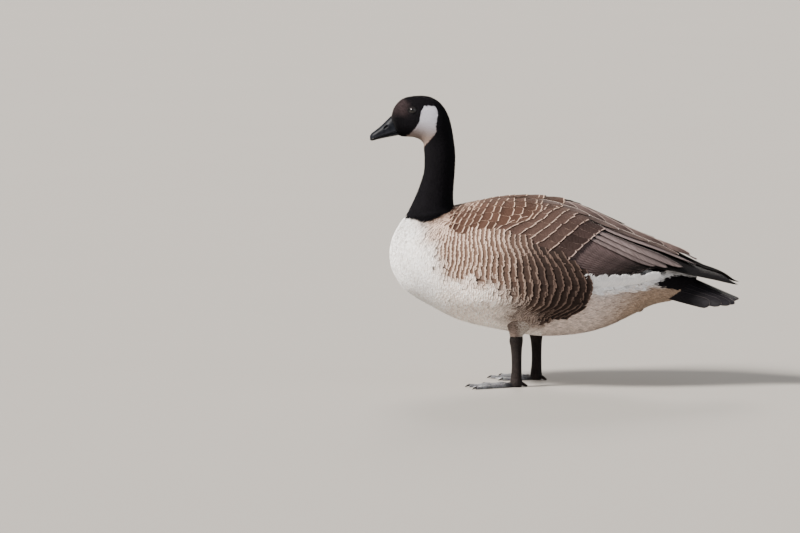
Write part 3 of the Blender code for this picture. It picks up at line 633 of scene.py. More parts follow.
def marks(points, angle, place):
    # two colours for each feather, and masks that other sizes are mixed by
    y, z = points[..., 1], points[..., 2]
    down = np.degrees(np.abs(angle))
    c = coatColours
    waver = ripple(points[..., 0], y, z, 40, 1)
    small = ripple(points[..., 0], y, z, 9, 2)
    end = np.interp(down, flankEnds[:, 0], flankEnds[:, 1]) + 1.2 * small
    rear = smoothStep(y, end - 1.5, end + 1.5)
    lower = 14 * smoothStep(y, -150, -20) + 24 * smoothStep(y, -64, -24)
    toBelly = smoothStep(down + 5 * waver + 3 * small, 92 + lower, 112 + lower)
    toFlank = smoothStep(y + 10 * waver, -135, -25)
    toBreast = smoothStep(y + 0.16 * (z - 215) + 6 * waver, -186, -232)
    back = smoothStep(down, 62, 40)
    tone = blend(blend(c["side"], c["mantle"], back), c["flank"], toFlank * (1 - back))
    edge = blend(blend(c["sideEdge"], c["mantleEdge"], back), c["flankEdge"], toFlank * (1 - back))
    lobe = np.maximum(smoothStep(y, end - 20, end - 5) * smoothStep(down, 103, 118),
                      0.8 * smoothStep(y, -60, -22) * smoothStep(down, 116, 130))
    tone, edge = blend(tone, c["lobe"], lobe), blend(edge, c["flankEdge"], 0.5 * lobe)
    # painted shade: the belly browner and darker in its hollow above the thighs
    shaded = smoothStep(y + 8 * waver + 6 * small, -122, -66) * smoothStep(down + 3 * small, 163, 138)
    tone = blend(tone, blend(c["belly"], c["hollow"], shaded), toBelly)
    edge = blend(edge, blend(c["bellyEdge"], c["hollowEdge"], shaded), toBelly)
    pale = toBreast
    tone, edge = blend(tone, c["breast"], pale), blend(edge, c["breastEdge"], pale)
    white = smoothStep(down + 2 * waver + 11 * smoothStep(y, 70, 175), 113, 98)
    # painted shade: below the white band the vent is painted tan, and darker further back under the tail
    behind = smoothStep(y + 0.7 * (down - 100), 70, 165)
    ventTone = blend(blend(c["vent"], c["hindVentShade"], behind), c["rump"], white)
    ventEdge = blend(blend(c["ventEdge"], c["hindVentShadeEdge"], behind), c["rumpEdge"], white)
    roof = smoothStep(down, 88, 85) * smoothStep(y, 150, 130)
    ventTone, ventEdge = blend(ventTone, c["flank"], roof), blend(ventEdge, c["flank"], roof)
    tone, edge = blend(tone, ventTone, rear), blend(edge, ventEdge, rear)
    # the back under and behind the wings is black as far as the white band over the tail
    dorsal = smoothStep(down, 70, 60) * smoothStep(y, 35, 60) * smoothStep(y, 182, 174)
    low, high = (np.interp(y, [158, 162, 187, 204, 240], d) for d in ([88, 86, 70, 54, 40], [89, 91, 101, 110, 125]))
    wedge = smoothStep(y, 158, 163) * smoothStep(down, low - 2, low + 2) * smoothStep(down, high + 2, high - 2)
    dark = np.maximum(dorsal, wedge)
    tone, edge = blend(tone, c["tailBlack"], dark), blend(edge, c["tailBlack"] , dark)
    sock = np.maximum(smoothStep(place + 0.10 * small, 12.02, 11.94),
                      smoothStep(z - np.interp(y, sockHem[:, 0], sockHem[:, 1]) + 1.6 * small, -1.2, 1.2))
    cheek = smoothStep(inside(cheekPatch, y, z) + 0.5 * small, -0.6, 0.6) * sock
    front = smoothStep(y, -245, -262) * smoothStep(z, 455, 470) * smoothStep(z + 2 * small, 492, 482)
    # the crown is painted darker than the rest of the black, to offset the light that falls on the top of the head
    crown = smoothStep(z, 468, 484)
    tone = blend(tone, blend(blend(c["black"], c["crown"], crown), c["forehead"], front), sock)
    edge = blend(edge, blend(c["blackEdge"], c["forehead"], front), sock)
    # painted shade: the cheek darker towards its bottom, under the head
    low = smoothStep(z, 460, 424)
    tone, edge = blend(tone, blend(c["cheek"], c["cheekShadeLow"], low), cheek), blend(edge, blend(c["cheekEdge"], c["cheekShadeLow"], low), cheek)
    return tone, edge, {"rear": rear, "belly": toBelly, "flank": toFlank * (1 - rear), "pale": pale, "back": back,
                        "sock": sock, "cheek": cheek, "dark": dark, "end": end}


def underWing(y, down):
    # whether a place on the body lies beneath a folded wing
    return (y > -146) & (y < 132) & (down < np.interp(y, wingEdge[:, 0], wingEdge[:, 1]))


def bulge(y, down):
    # the feathers of the side stand out over the wing's edge and end as a lobe over the vent
    return 5.6 * smoothStep(down, 46, 58) * smoothStep(down, 138, 112) * smoothStep(y, -168, -110)


# Eyes, placed as in the solids

eyeSizes = {"place": 2.8, "down": math.radians(66), "radius": 7.0, "sunk": 4.9, "opening": 5.5}


def eyeSpot(side):
    # centre of the eyeball and the way it looks, straight out of the head
    place, down = eyeSizes["place"], eyeSizes["down"]
    here = fleshPoint(np.array(place), np.array(down))
    ahead = fleshPoint(np.array(place + 0.1), np.array(down)) - here
    lower = fleshPoint(np.array(place), np.array(down + math.radians(2))) - here
    out = unit(np.cross(lower, ahead))
    out = out * (1 if out[0] > 0 else -1)
    mirror = np.array([side, 1, 1])
    return (here - out * eyeSizes["sunk"]) * mirror, out * mirror


# Coat of the body

coatSizes = {
    "contour": dict(columns=124, step=1.0, rows=[0, 0.34, 0.62, 0.80, 0.93, 1.0], across=[-1, -0.55, 0, 0.55, 1],
                    rounding=(0.30, 0.07), long=2.7, wide=(1.35, 0.98), lowest=-2.6, highest=0.3),
    "soft": dict(columns=216, step=0.46, rows=[0, 0.45, 0.8, 1.0], across=[-1, 0, 1],
                 rounding=(0.5, 0.5), long=2.3, wide=(1.15, 1.15), lowest=-2.4, highest=0.2),
}


def springs(chart, columns, step, stagger):
    # where feathers spring: every other column half a row ahead, less so on the flank, all a little uneven
    angles = -math.pi + (np.arange(columns) + 0.5) * 2 * math.pi / columns
    rows = np.arange(chart.first[0], chart.first[-1], step)
    p, q = (a.ravel() for a in np.meshgrid(rows, angles, indexing="ij"))
    odd = np.tile(np.arange(columns) % 2, len(rows)) - 0.5
    spot = chart.read(chart.points, p, q)
    share = stagger(spot, q)
    p = p + step * (0.5 * odd * share + chance.uniform(-0.10, 0.10, len(p)) * (0.4 + share))
    q = q + chance.uniform(-0.12, 0.12, len(q)) * 2 * math.pi / columns
    first, last = (np.interp(q, chart.second, e) for e in chart.ends)
    keep = (p > first) & (p < last - 0.6)
    return p[keep], q[keep]


def coatOfBody(kind):
    # one lattice of feathers over the body, thinned to where its kind grows
    size = coatSizes[kind]

    def stagger(spot, angle):
        down = np.degrees(np.abs(angle))
        return 1 - 0.92 * smoothStep(down, 50, 60) * smoothStep(down, 132, 118) * smoothStep(spot[:, 1], -215, -185)

    p, q = springs(bodyMap, size["columns"], size["step"], stagger)
    if kind == "contour":
        near = bodyMap.read(bodyMap.points, p, q)
        p = p + 0.34 * ripple(0 * p, near[:, 1] * 0.35, near[:, 2], 52, 8)  # the rows waver
    spot, place = bodyMap.read(bodyMap.points, p, q), bodyMap.read(bodyMap.place, p, q)[:, 0]
    tone, edge, mask = marks(spot, q, place)
    down = np.degrees(np.abs(q))
    soft = np.maximum.reduce([mask["belly"], mask["pale"], mask["rear"] * (1 - mask["dark"])])
    draw = chance.random(len(p))
    keep = (draw > soft) if kind == "contour" else (draw < soft)
    keep &= ~underWing(spot[:, 1], down) & (place > 11.9)
    p, q, spot, place, tone, edge, down = (a[keep] for a in (p, q, spot, place, tone, edge, down))
    mask = {k: v[keep] for k, v in mask.items()}
    rowLong = np.linalg.norm(bodyMap.read(bodyMap.along, p, q), axis=1)
    area = np.linalg.norm(np.cross(bodyMap.read(bodyMap.along, p, q), bodyMap.read(bodyMap.across, p, q)), axis=1)
    spacing = area / rowLong * 2 * math.pi / size["columns"]
    number = len(p)
    fluff = mask["rear"] * smoothStep(down, 106, 97) * (1 - mask["dark"]) * smoothStep(spot[:, 1], 165, 140)
    wild = chance.normal(size=(4, number))
    bars = smoothStep(down, 48, 58) * (1 - mask["rear"])
    lobe = smoothStep(spot[:, 1], mask["end"] - 26, mask["end"] - 10) * (1 - mask["rear"]) * (1 - mask["belly"]) * (1 - mask["back"])
    look = {
        "rows": size["rows"], "columns": size["across"], "shape": (0.6, 0.45, size["rounding"][0] * (1 - bars) + size["rounding"][1] * bars, 0.002 + 0.75 * bars),
        "length": np.clip(rowLong * size["long"], 6, 38) * (1 + (0.07 - 0.05 * bars) * wild[0]) * (1 + 0.3 * fluff),
        "width": np.clip(spacing * (size["wide"][0] * (1 - bars) + size["wide"][1] * bars), 1.6, 12) * (1 + 0.05 * wild[1]) * (1 + 0.6 * fluff),
        "veer": (0.07 - 0.04 * bars + 0.12 * fluff) * wild[2] + 0.06 * ripple(*spot.T, 60, 5),
        "lowest": size["lowest"], "highest": size["highest"] + (0.22 - 0.17 * bars) * wild[3] + 2.2 * fluff + 0.9 * lobe,
        "camber": 0.25 - 0.2 * bars, "ragged": 0.5 + 1.8 * fluff + 0.7 * bars + (0.5 if kind == "soft" else 0),
        "roll": 0.10 * wild[0] * (1 - bars) + 0.16 * bars,
        "rimSide": 1.2, "bare": 30 * bars, "follow": bars,
    }
    factor = ((1 - mask["rear"]) * (1 - mask["dark"]))[:, None, None]

    def proud(ps, qs):
        where = bodyMap.read(bodyMap.points, ps, qs)
        return factor * bulge(where[..., 1], np.degrees(np.abs(qs)))

    made = feathers(bodyMap, p, q, look, proud)
    # soft feathers differ more from one another, alone and in loose groups
    loose = (kind == "soft") * (1 - 0.75 * mask["pale"])
    uneven = 1 + (0.07 + 0.07 * loose) * chance.normal(size=number)
    uneven = (uneven + loose * (0.10 * ripple(*spot.T, 12, 6) + 0.09 * ripple(*spot.T, 5.5, 7)))[:, None]
    tone, edge = tone * uneven, np.minimum(edge * uneven, 0.96) if kind == "soft" else edge
    # painted shade: darker where the next feather lies over it, lighter towards its tip
    shade = 1 + (np.array(size["rows"])[None, :] - 0.82) * (1.5 * bars * (1 - mask["pale"]) * (1 - mask["belly"]))[:, None]
    tone = tone[:, None, :] * shade[..., None]
    unwrap = np.stack([q / (2 * math.pi) + 0.5, place / 28], -1)
    return made, tone, edge, unwrap, mask, spot


def pick(made, tone, edge, unwrap, keep):
    points, rim, vane, t, u = made
    return points[keep], rim[keep], vane[keep], tone[keep], edge[keep], patches(unwrap[keep], t, u)


def bodyCoat():
    made, tone, edge, unwrap, mask, spot = coatOfBody("contour")
    upper = (mask["back"] > 0.5) | (mask["dark"] > 0.5)
    sock = mask["sock"] > 0.5
    hem = Vanes()  # the black feathers round the neck's root
    hem.add(*pick(made, tone, edge, unwrap, sock))
    for name, keep, finish, slot in (
            ("mantleCoat", upper & ~sock, wingFinish, "wing_plumage"),
            ("flankCoat", ~upper & ~sock, barredFinish, "body_plumage")):
        vanes = Vanes()
        vanes.add(*pick(made, tone, edge, unwrap, keep))
        vanes.build(name, finish, slot)
    made, tone, edge, unwrap, mask, spot = coatOfBody("soft")
    rear = mask["rear"] > 0.5
    left = spot[:, 0] > 0
    sock = mask["sock"] > 0.5
    hem.add(*pick(made, tone, edge, unwrap, sock))
    hem.build("hemCoat", blackFinish, "black_plumage")
    for name, keep, finish, slot in (
            ("breastCoat_left", ~rear & left & ~sock, softFinish, "body_plumage"),
            ("breastCoat_right", ~rear & ~left & ~sock, softFinish, "body_plumage"),
            ("ventCoat", rear, whiteFinish, "white_plumage")):
        vanes = Vanes()
        vanes.add(*pick(made, tone, edge, unwrap, keep))
        vanes.build(name, finish, slot)


headCoat = dict(columns=84, headRow=1.55, neckRow=2.5, headLong=4.6, neckLong=7.5)


def coatOfHead():
    # velvet on the head, short narrow feathers down the neck; the last row lies over the breast's first
    size = headCoat
    places = np.linspace(0.25, 12.15, 900)
    line = fleshPoint(places, np.full(900, math.pi / 2))
    step = np.linalg.norm(np.diff(line, axis=0), axis=1)
    row = np.interp(places[1:], [6, 9], [size["headRow"], size["neckRow"]])
    count = np.concatenate([[0], np.cumsum(step / row)])
    rows = np.interp(np.arange(0, count[-1]), count, places)
    angles = -math.pi + (np.arange(size["columns"]) + 0.5) * 2 * math.pi / size["columns"]
    p, q = np.meshgrid(rows, angles, indexing="ij")
    rowGap = np.gradient(rows)[:, None]
    p = p + rowGap * (0.5 * (np.arange(size["columns"]) % 2) + chance.uniform(-0.25, 0.25, p.shape))
    q = q + chance.uniform(-0.3, 0.3, q.shape) * 2 * math.pi / size["columns"]
    gap = (np.linalg.norm(headMap.read(headMap.along, p, q), axis=-1) * rowGap).ravel()
    p, q = p.ravel(), q.ravel()
    onNeck = smoothStep(p, 6.0, 9.0)
    wanted = size["headRow"] + (size["neckRow"] - size["headRow"]) * onNeck
    keep = chance.random(len(p)) < gap / (0.55 * wanted)
    spot = headMap.read(headMap.points, p, q)
    length = size["headLong"] + (size["neckLong"] - size["headLong"]) * onNeck
    length = length * smoothStep(p, -0.6, 2.0)
    for side in (1, -1):
        centre, out = eyeSpot(side)
        for part in (0, 0.5, 1.0):
            there = spot + unit(headMap.read(headMap.along, p, q)) * (length * part)[:, None] - centre
            off = there - out * dot(there, out)[:, None]
            near = (np.linalg.norm(off * [1, 1, 1.12], axis=1) < eyeSizes["opening"] + 0.5) & (spot[:, 0] * side > 0)
            keep &= ~near
    p, q, spot, onNeck, length = (a[keep] for a in (p, q, spot, onNeck, length))
    tone, edge, mask = marks(spot, q, np.minimum(p, 11.9))
    number = len(p)
    wild = chance.normal(size=(4, number))
    spacing = np.linalg.norm(headMap.read(headMap.across, p, q), axis=1) * 2 * math.pi / size["columns"]
    look = {
        "rows": [0, 0.5, 1.0], "columns": [-1, 0, 1], "shape": (0.6, 0.5, 0.55, 0.002),
        "length": length * (1 + 0.1 * wild[0]), "width": np.clip(spacing * 1.15, 0.8, 4.0),
        "veer": 0.10 * wild[1], "lowest": -0.9 - 0.7 * onNeck, "highest": 0.15 + 0.25 * onNeck + 0.12 * wild[2],
        "camber": 0.10, "ragged": 0.3, "roll": 0.08 * wild[3], "rimSide": 2.0, "bare": 0, "follow": 0,
    }
    made = feathers(headMap, p, q, look)
    tone = tone * (1 + 0.10 * chance.normal(size=(number, 1)))
    unwrap = np.stack([q / (2 * math.pi) + 0.5, p / 12.5], -1)
    pale = mask["cheek"] > 0.5
    for name, keep, finish, slot in (
            ("headCoat", ~pale & (p < sockEnds), blackFinish, "black_plumage"),
            ("neckCoat", ~pale & (p >= sockEnds), blackFinish, "black_plumage"),
            ("cheekCoat", pale, cheekFinish, "white_plumage")):
        vanes = Vanes()
        vanes.add(*pick(made, tone, edge, unwrap, keep))
        vanes.build(name, finish, slot)


# Thighs

legSizes = {"stance": 52.0, "middle": -48.5, "stagger": 12.5, "hock": 87.0, "footTop": 15.0}
thighRows = np.array([(87.3, 0.0, 10.6, 9.4), (96.0, 3.0, 15.0, 13.0), (108.0, 8.0, 24.0, 20.0), (132.0, 14.0, 36.0, 28.0)])
shankRows = np.array([(87.0, 0.5, 10.8, 8.9), (79.0, 0.0, 11.6, 9.2), (66.0, 0.4, 9.6, 7.4), (44.0, 0.8, 8.5, 6.4),
                      (26.0, 0.6, 8.8, 6.6), (15.0, 0.0, 9.6, 7.5)])


def legPlace(side):
    return np.array([side * legSizes["stance"], legSizes["middle"] - side * legSizes["stagger"], 0.0])


def limbPoint(rows, place, turn, side, grow=0.0):
    # an upright limb: ovals of a depth and a width round a middle that shifts with the height
    shape = curveThrough(rows, place).reshape(np.shape(place) + (4,))
    height, shift, depth, width = (shape[..., i] for i in range(4))
    return np.stack([(width + grow) * np.cos(turn), shift + (depth + grow) * np.sin(turn), height], -1) + legPlace(side)


def thighChart(side):
    # charted downward, as its feathers lie
    down = np.linspace(0, 3.0, 60)
    turn = np.linspace(-0.4, 2 * math.pi + 0.4, 121)
    grid = np.meshgrid(3.0 - down, turn, indexing="ij")
    points = limbPoint(thighRows, *grid, side)
    return Chart(down * 15, turn, points, points.mean(axis=1, keepdims=True))


def thighCoat(side):
    chart = thighChart(side)
    columns, rows = 40, 17
    p, q = np.meshgrid(np.linspace(4, 41.5, rows), np.arange(columns) / columns * 2 * math.pi, indexing="ij")
    p = p + 1.1 * (np.arange(columns) % 2) + chance.uniform(-0.5, 0.5, p.shape)
    p, q = p.ravel(), q.ravel()
    spot = chart.read(chart.points, p, q)
    number = len(p)
    wild = chance.normal(size=(3, number))
    spacing = np.linalg.norm(chart.read(chart.across, p, q), axis=1) * 2 * math.pi / columns
    low = smoothStep(spot[:, 2], 112, 92)
    look = {
        "rows": [0, 0.45, 0.8, 1.0], "columns": [-1, 0, 1], "shape": (0.5, 0.5, 0.5, 0.002),
        "length": 13 - 6.5 * low + wild[0], "width": spacing * 1.3, "veer": 0.1 * wild[1], "lowest": -1.6,
        "highest": 1.0 - 0.7 * low + 0.3 * wild[2], "camber": 0.2, "ragged": 1.0, "roll": 0.1 * wild[0], "rimSide": 2.0, "bare": 0, "follow": 0,
    }
    rear = smoothStep(spot[:, 1], legPlace(side)[1] + 2, legPlace(side)[1] + 16)[:, None]
    tone = (1 - rear) * np.array([0.095, 0.065, 0.052]) + rear * np.array([0.30, 0.245, 0.21])
    tone = tone * (1 + 0.08 * wild[0][:, None])
    edge = (1 - rear) * np.array([0.23, 0.17, 0.14]) + rear * np.array([0.52, 0.46, 0.41])
    points, rim, vane, t, u = feathers(chart, p, q, look)
    vanes = Vanes()
    vanes.add(points, rim, vane, tone, edge, patches(np.stack([q / 7, p / 45], -1), t, u))
    vanes.build("thighCoat_left" if side > 0 else "thighCoat_right", softFinish, "body_plumage")


# Skin under the coat, in one piece, carrying the same markings

def skinFinish():
    made = Finish("underCoat", Roughness=0.9, Specular_IOR_Level=0.15)
    tone = made.attribute("tone")
    down = made.noise(made.place(), 420.0, 3.0, 0.7)
    made.give("Base Color", made.mix(tone, made.mix(tone, (0.55, 0.53, 0.52), 1.0, "MULTIPLY"), down.ramp(0.4, 0.7)))
    made.give("Normal", made.bump(down, 0.6, 0.0008))
    return made.material


def skin():
    rings, around = 240, 120
    place = np.concatenate([np.linspace(0.0, 12, 110), np.linspace(12, 28, 131)[1:]])
    turn = np.arange(around) / around * 2 * math.pi - math.pi
    grid = np.meshgrid(place, turn, indexing="ij")
    depth = np.interp(place, [0, 7, 11, 13, 28], [0.9, 1.2, 1.7, 3.0, 3.0])[:, None]
    outer = fleshPoint(*grid)
    y, down = outer[..., 1], np.degrees(np.abs(grid[1]))
    # the bed of a folded wing is deeper and painted dark, as shade under the wing
    bed = (smoothStep(np.interp(y, wingEdge[:, 0], wingEdge[:, 1]) - down, 2, 12) * smoothStep(y, -148, -120)
           * smoothStep(y, 142, 112))
    points = fleshPoint(*grid, -depth - 12 * bed)
    tone, edge, mask = marks(outer, grid[1], grid[0])
    # the skin under the wing painted dark as shade
    tone = blend(blend(tone, edge, 0.3), (0.035, 0.027, 0.023), bed)
    parts = [(points, outward(points, tubeFaces(rings, around)))]
    tones = [tone.reshape(-1, 3)]
    for side in (1, -1):
        legTurn = np.arange(40) / 40 * 2 * math.pi
        legGrid = np.meshgrid(np.linspace(0, 3, 30), legTurn, indexing="ij")
        leg = limbPoint(thighRows, *legGrid, side, -1.6)
        parts.append((leg, outward(leg, tubeFaces(30, 40))))
        tones.append(np.full((30 * 40, 3), 0.30))
    points, faces = joined(parts)
    piece = makePiece("skin", points, faces, skinFinish(), colours={"tone": np.concatenate(tones)})
    settle(piece, ("head", "neck", "torso", "thigh_left", "thigh_right"))
    report("Skin")


skin()
bodyCoat()
coatOfHead()
for side in (1, -1):
    thighCoat(side)


# Folded wings. y, top z, widest z and half width of the outer surface, as in the solids

wingRows = {
    1: np.array([(-175, 306, 211, 97), (-157, 308, 211, 101), (-93, 320, 208, 109), (-25, 319, 205, 110.5),
                 (36, 304, 202, 105), (87, 281, 200, 94), (139, 259, 199, 78), (182, 242, 198, 63), (220, 223, 194, 50),
                 (252, 207, 189, 40), (282, 197, 182, 29), (320, 182, 173, 18)]),
    -1: np.array([(-175, 306, 211, 97), (-157, 308, 211, 101), (-93, 321, 208, 109), (-25, 324, 205, 110.5),
                  (36, 314, 202, 105), (87, 291, 200, 94), (139, 266, 199, 78), (182, 248, 198, 63), (220, 230, 195, 50),
                  (252, 213, 190, 40), (282, 202, 183, 29), (320, 184, 174, 18)]),
}


def wingPoint(y, angle, side):
    # half a squarish oval round the body at y, the angle running down from the back
    shape = curveOver(wingRows[side], y).reshape(np.shape(y) + (4,))
    top, middle, width = shape[..., 1], shape[..., 2], shape[..., 3]
    sine, cosine = np.sin(angle), np.cos(angle)
    x = width * np.sign(sine) * np.abs(sine) ** fullness
    z = middle + (top - middle) * np.sign(cosine) * np.abs(cosine) ** fullness
    if side < 0:
        # this wing is carried higher, and falls to the other one's level over the middle of the back
        z = z - np.interp(y, [-60, 36, 220, 300], [0, 15, 12, 3]) * smoothStep(np.degrees(angle), 10, -9)
    return np.stack([side * x, y, z], -1)


def wingChart(side):
    y, angle = np.linspace(-175, 320, 496), np.radians(np.linspace(-14, 140, 155))
    grid = np.meshgrid(y, angle, indexing="ij")
    points = wingPoint(*grid, side)
    middle = curveOver(wingRows[side], y)[:, None, :]
    inner = np.stack([0 * grid[0], grid[0], 0 * grid[0] + middle[..., 2]], -1)
    return Chart(y, angle, points, inner)


def longFeathers(chart, root, tip, width, look):
    # feathers of a wing from roots to tips given on its chart, with the webs at right angles to the
    # shaft; each tilts so that its lower edge lies over the next one
    number = len(root)
    t, u = np.asarray(look["rows"], float), np.asarray(look["columns"], float)
    value = {k: np.broadcast_to(np.asarray(look.get(k, 0), float), number)[:, None, None] for k in (
        "lowest", "highest", "tilt", "camber", "bow", "ragged", "bare", "rimSide")}
    part = t[None, :]
    p = root[:, :1] + (tip - root)[:, :1] * part
    q = root[:, 1:] + (tip - root)[:, 1:] * part + value["bow"][..., 0] * np.sin(math.pi * part)
    change = np.gradient(p, t, axis=1), np.gradient(q, t, axis=1)
    way = chart.read(chart.along, p, q) * change[0][..., None] + chart.read(chart.across, p, q) * change[1][..., None]
    length = np.linalg.norm(way, axis=-1).mean(axis=1)
    way = unit(way)
    out = unit(chart.read(chart.out, p, q))
    aside = np.cross(way, out)
    lower = np.sign(dot(aside, chart.read(chart.across, p, q)))[..., None]
    stepP, stepQ = chart.steps(p, q, aside)
    half = width[:, None] * shaped(t, look["shape"])[None, :]
    wide = half[..., None] * u
    uneven = chance.uniform(-1, 1, (number, 1, len(u))) * value["ragged"] * (t ** 8)[None, :, None]
    if "line" in look:
        # the end is cut along the line of tips
        ahead, over = look["line"][:, :1], look["line"][:, 1:]
        tangent = chart.read(chart.along, tip[:, 0], tip[:, 1]) * ahead + chart.read(chart.across, tip[:, 0], tip[:, 1]) * over
        slant = np.clip(dot(tangent, way[:, -1]) / dot(tangent, aside[:, -1]), -1.6, 1.6)
        uneven = uneven + slant[:, None, None] * wide * (t ** 2)[None, :, None]
    back = uneven / np.maximum(length, 1)[:, None, None]
    ps = p[..., None] + stepP[..., None] * wide + change[0][..., None] * back
    qs = q[..., None] + stepQ[..., None] * wide + change[1][..., None] * back
    rise = (value["lowest"] + (value["highest"] - value["lowest"]) * t[None, :, None] ** look.get("rising", 1.0)
            + value["tilt"] * lower * u - value["camber"] * u ** 2)
    here, normal = chart.read(chart.points, ps, qs), unit(chart.read(chart.out, ps, qs))
    points = here + normal * rise[..., None]
    fromSide = 1 + look["upper"] * lower * u if look.get("upper") else 1 - np.abs(u) + 0 * lower
    rim = np.minimum(half[..., None] * fromSide * value["rimSide"] + value["bare"],
                     length[:, None, None] * (1 - t)[None, :, None])
    vane = np.stack([wide, length[:, None, None] * t[None, :, None] + 0 * wide], -1)
    if look.get("thick"):
        points = np.concatenate([points, points - normal * look["thick"]], axis=1)
        rim, vane = (np.concatenate([a, a], axis=1) for a in (rim, vane))
    return points, rim, vane, t, u


def tierOf(rootA, rootB, tipA, tipB, count, uneven=0.0):
    # roots and tips spaced evenly from the uppermost feather, A, to the lowest, B; y and degrees
    part = np.linspace(0, 1, count)[:, None]
    root = np.array(rootA, float) * (1 - part) + np.array(rootB, float) * part
    tip = np.array(tipA, float) * (1 - part) + np.array(tipB, float) * part
    tip[:, 0] += chance.uniform(-uneven, uneven, count)
    scale = np.array([1, math.radians(1)])
    return root * scale, tip * scale


def rowAlong(chart, line, size, uneven=0.0):
    # feathers whose ends make up a line given by y and degrees from its top down: their roots, tips,
    # half widths and the line's direction at each
    line = np.array(line, float) * [1, math.radians(1)]
    dense = np.stack([np.interp(np.linspace(0, len(line) - 1, 200), np.arange(len(line)), line[:, k]) for k in (0, 1)], -1)
    points = chart.read(chart.points, dense[:, 0], dense[:, 1])
    run = np.concatenate([[0], np.cumsum(np.linalg.norm(np.diff(points, axis=0), axis=1))])
    count = max(2, round(run[-1] / size["width"]))
    place = (np.arange(count) + 0.5) / count * run[-1]
    tip = np.stack([np.interp(place, run, dense[:, k]) for k in (0, 1)], -1)
    ahead = np.stack([np.interp(place + 6, run, dense[:, k]) - np.interp(place - 6, run, dense[:, k]) for k in (0, 1)], -1)
    tip[:, 0] += chance.uniform(-uneven, uneven, count)
    root = tip - np.array([size["long"], size["long"] * math.radians(size["lean"])])
    root[:, 0] = np.maximum(root[:, 0], -173)
    past = 5 + 11 * smoothStep(tip[:, 0], -140, -156)
    keep = np.degrees(tip[:, 1]) < np.interp(tip[:, 0], wingEdge[:, 0], wingEdge[:, 1]) + past
    return root[keep], tip[keep], np.full(keep.sum(), run[-1] / count * 0.5 * size["over"]), ahead[keep]


fineRows = [0, 0.12, 0.26, 0.42, 0.58, 0.72, 0.83, 0.91, 0.96, 0.985, 1.0]
fineAcross = [-1, -0.82, -0.45, -0.08, 0.08, 0.45, 0.82, 1]
smallRows = [0, 0.3, 0.55, 0.74, 0.87, 0.95, 1.0]
smallAcross = [-1, -0.6, 0, 0.6, 1]

# Flight feathers, from the lowest layer up: count, roots and tips of the first and last, half widths, lifts, tilt, bow
# in degrees, outline, colours, the painted shade towards the tips and beside the feather above, and width of the pale
# rim's share
flightTiers = {
    "primary": dict(count=10, ends=((96, 26), (84, 77), (292, 8), (317, 60)), width=(8, 7), lift=(-4.4, -2.4), tilt=0.6,
                    shape=(0.7, 0.3, 0.30, 0.002), tone=(0.0050, 0.0042, 0.0042), tipShade=1.0, edge=(0.012, 0.010, 0.009),
                    rimSide=2.5),
    "secondary": dict(count=15, ends=((46, 47), (4, 88), (178, 76), (140, 89)), width=(8, 7.5), lift=(-2.6, -0.9),
                      tilt=1.0, shape=(0.8, 0.2, 0.16, 0.002), tone=(0.074, 0.051, 0.050), tipShade=0.06,
                      edge=(0.11, 0.083, 0.080), rimSide=3.0),
    "tertial": dict(count=4, root=[(45, 45), (45, 38), (50, 29.5), (60, 19)], tip=[(177, 75), (198, 73), (223, 61), (244, 20)],
                    bow=[-4, -6, -4, 3], width=(6.5, 12.0), lift=(-1.8, 1.4), tilt=1.5, shape=(0.7, 0.35, 0.30, 0.002),
                    tone=(0.172, 0.132, 0.128), tipShade=0.70, edge=(0.46, 0.37, 0.34), rimSide=1.4, upper=1, besideShade=[0.3, 0.3, 0.3, 0.9]),
}
# Coverts, from the tail end forward: the line of their tips in y and degrees from its top down, and their
# width, length, lean in degrees for each millimetre, share that they overlap by and lift
covertTiers = {
    "greater": dict(line=[(92, 25), (88, 31), (67, 55), (43, 73), (30, 81.5), (20, 90)], width=15.0, long=92, lean=0.10,
                    over=1.3, uneven=0.9, lift=(-2.4, 1.4), tone=(0.036, 0.0235, 0.021), edge=(0.40, 0.29, 0.25)),
    "nearGreater": dict(line=[(64, 20), (57, 28.5), (42, 46.5), (17, 65), (-3, 76), (-16, 84)], width=17.0, long=64,
                        lean=0.12, over=1.3, uneven=1.2, lift=(-2.4, 1.7), tone=(0.052, 0.033, 0.028), edge=(0.40, 0.28, 0.23)),
    "median": dict(line=[(46, 16), (38, 27), (16, 48.5), (-5, 61), (-27, 71.5), (-40, 78)], width=18.0, long=54, lean=0.14,
                   over=1.3, lift=(-2.4, 1.9), tone=(0.058, 0.036, 0.030), edge=(0.40, 0.28, 0.23)),
    "lesser": dict(line=[(32, 13), (15, 34.5), (-2, 48.5), (-24, 61), (-48, 71)], width=17.0, long=46, lean=0.16, over=1.3,
                   lift=(-2.4, 2.1), tone=(0.060, 0.037, 0.030), edge=(0.42, 0.30, 0.24)),
    "least": dict(line=[(14, 12), (6, 24), (-14, 43), (-37, 54.5), (-60, 65), (-70, 70)], width=15.0, long=42, lean=0.18,
                  over=1.3, lift=(-2.4, 2.3), tone=(0.061, 0.037, 0.030), edge=(0.42, 0.30, 0.24)),
    "margin": dict(line=[(-6, 16), (-14, 30), (-31, 43.5), (-62, 53), (-80, 61), (-96, 66)], width=13.0, long=38, lean=0.2,
                   over=1.3, lift=(-2.4, 2.5), tone=(0.056, 0.032, 0.025), edge=(0.42, 0.30, 0.24)),
    "front": dict(line=[(-34, 40), (-70, 49), (-98, 59), (-112, 64)], width=11.0, long=32, lean=0.2, over=1.3,
                  lift=(-2.4, 2.6), tone=(0.056, 0.032, 0.025), edge=(0.42, 0.30, 0.24)),
}
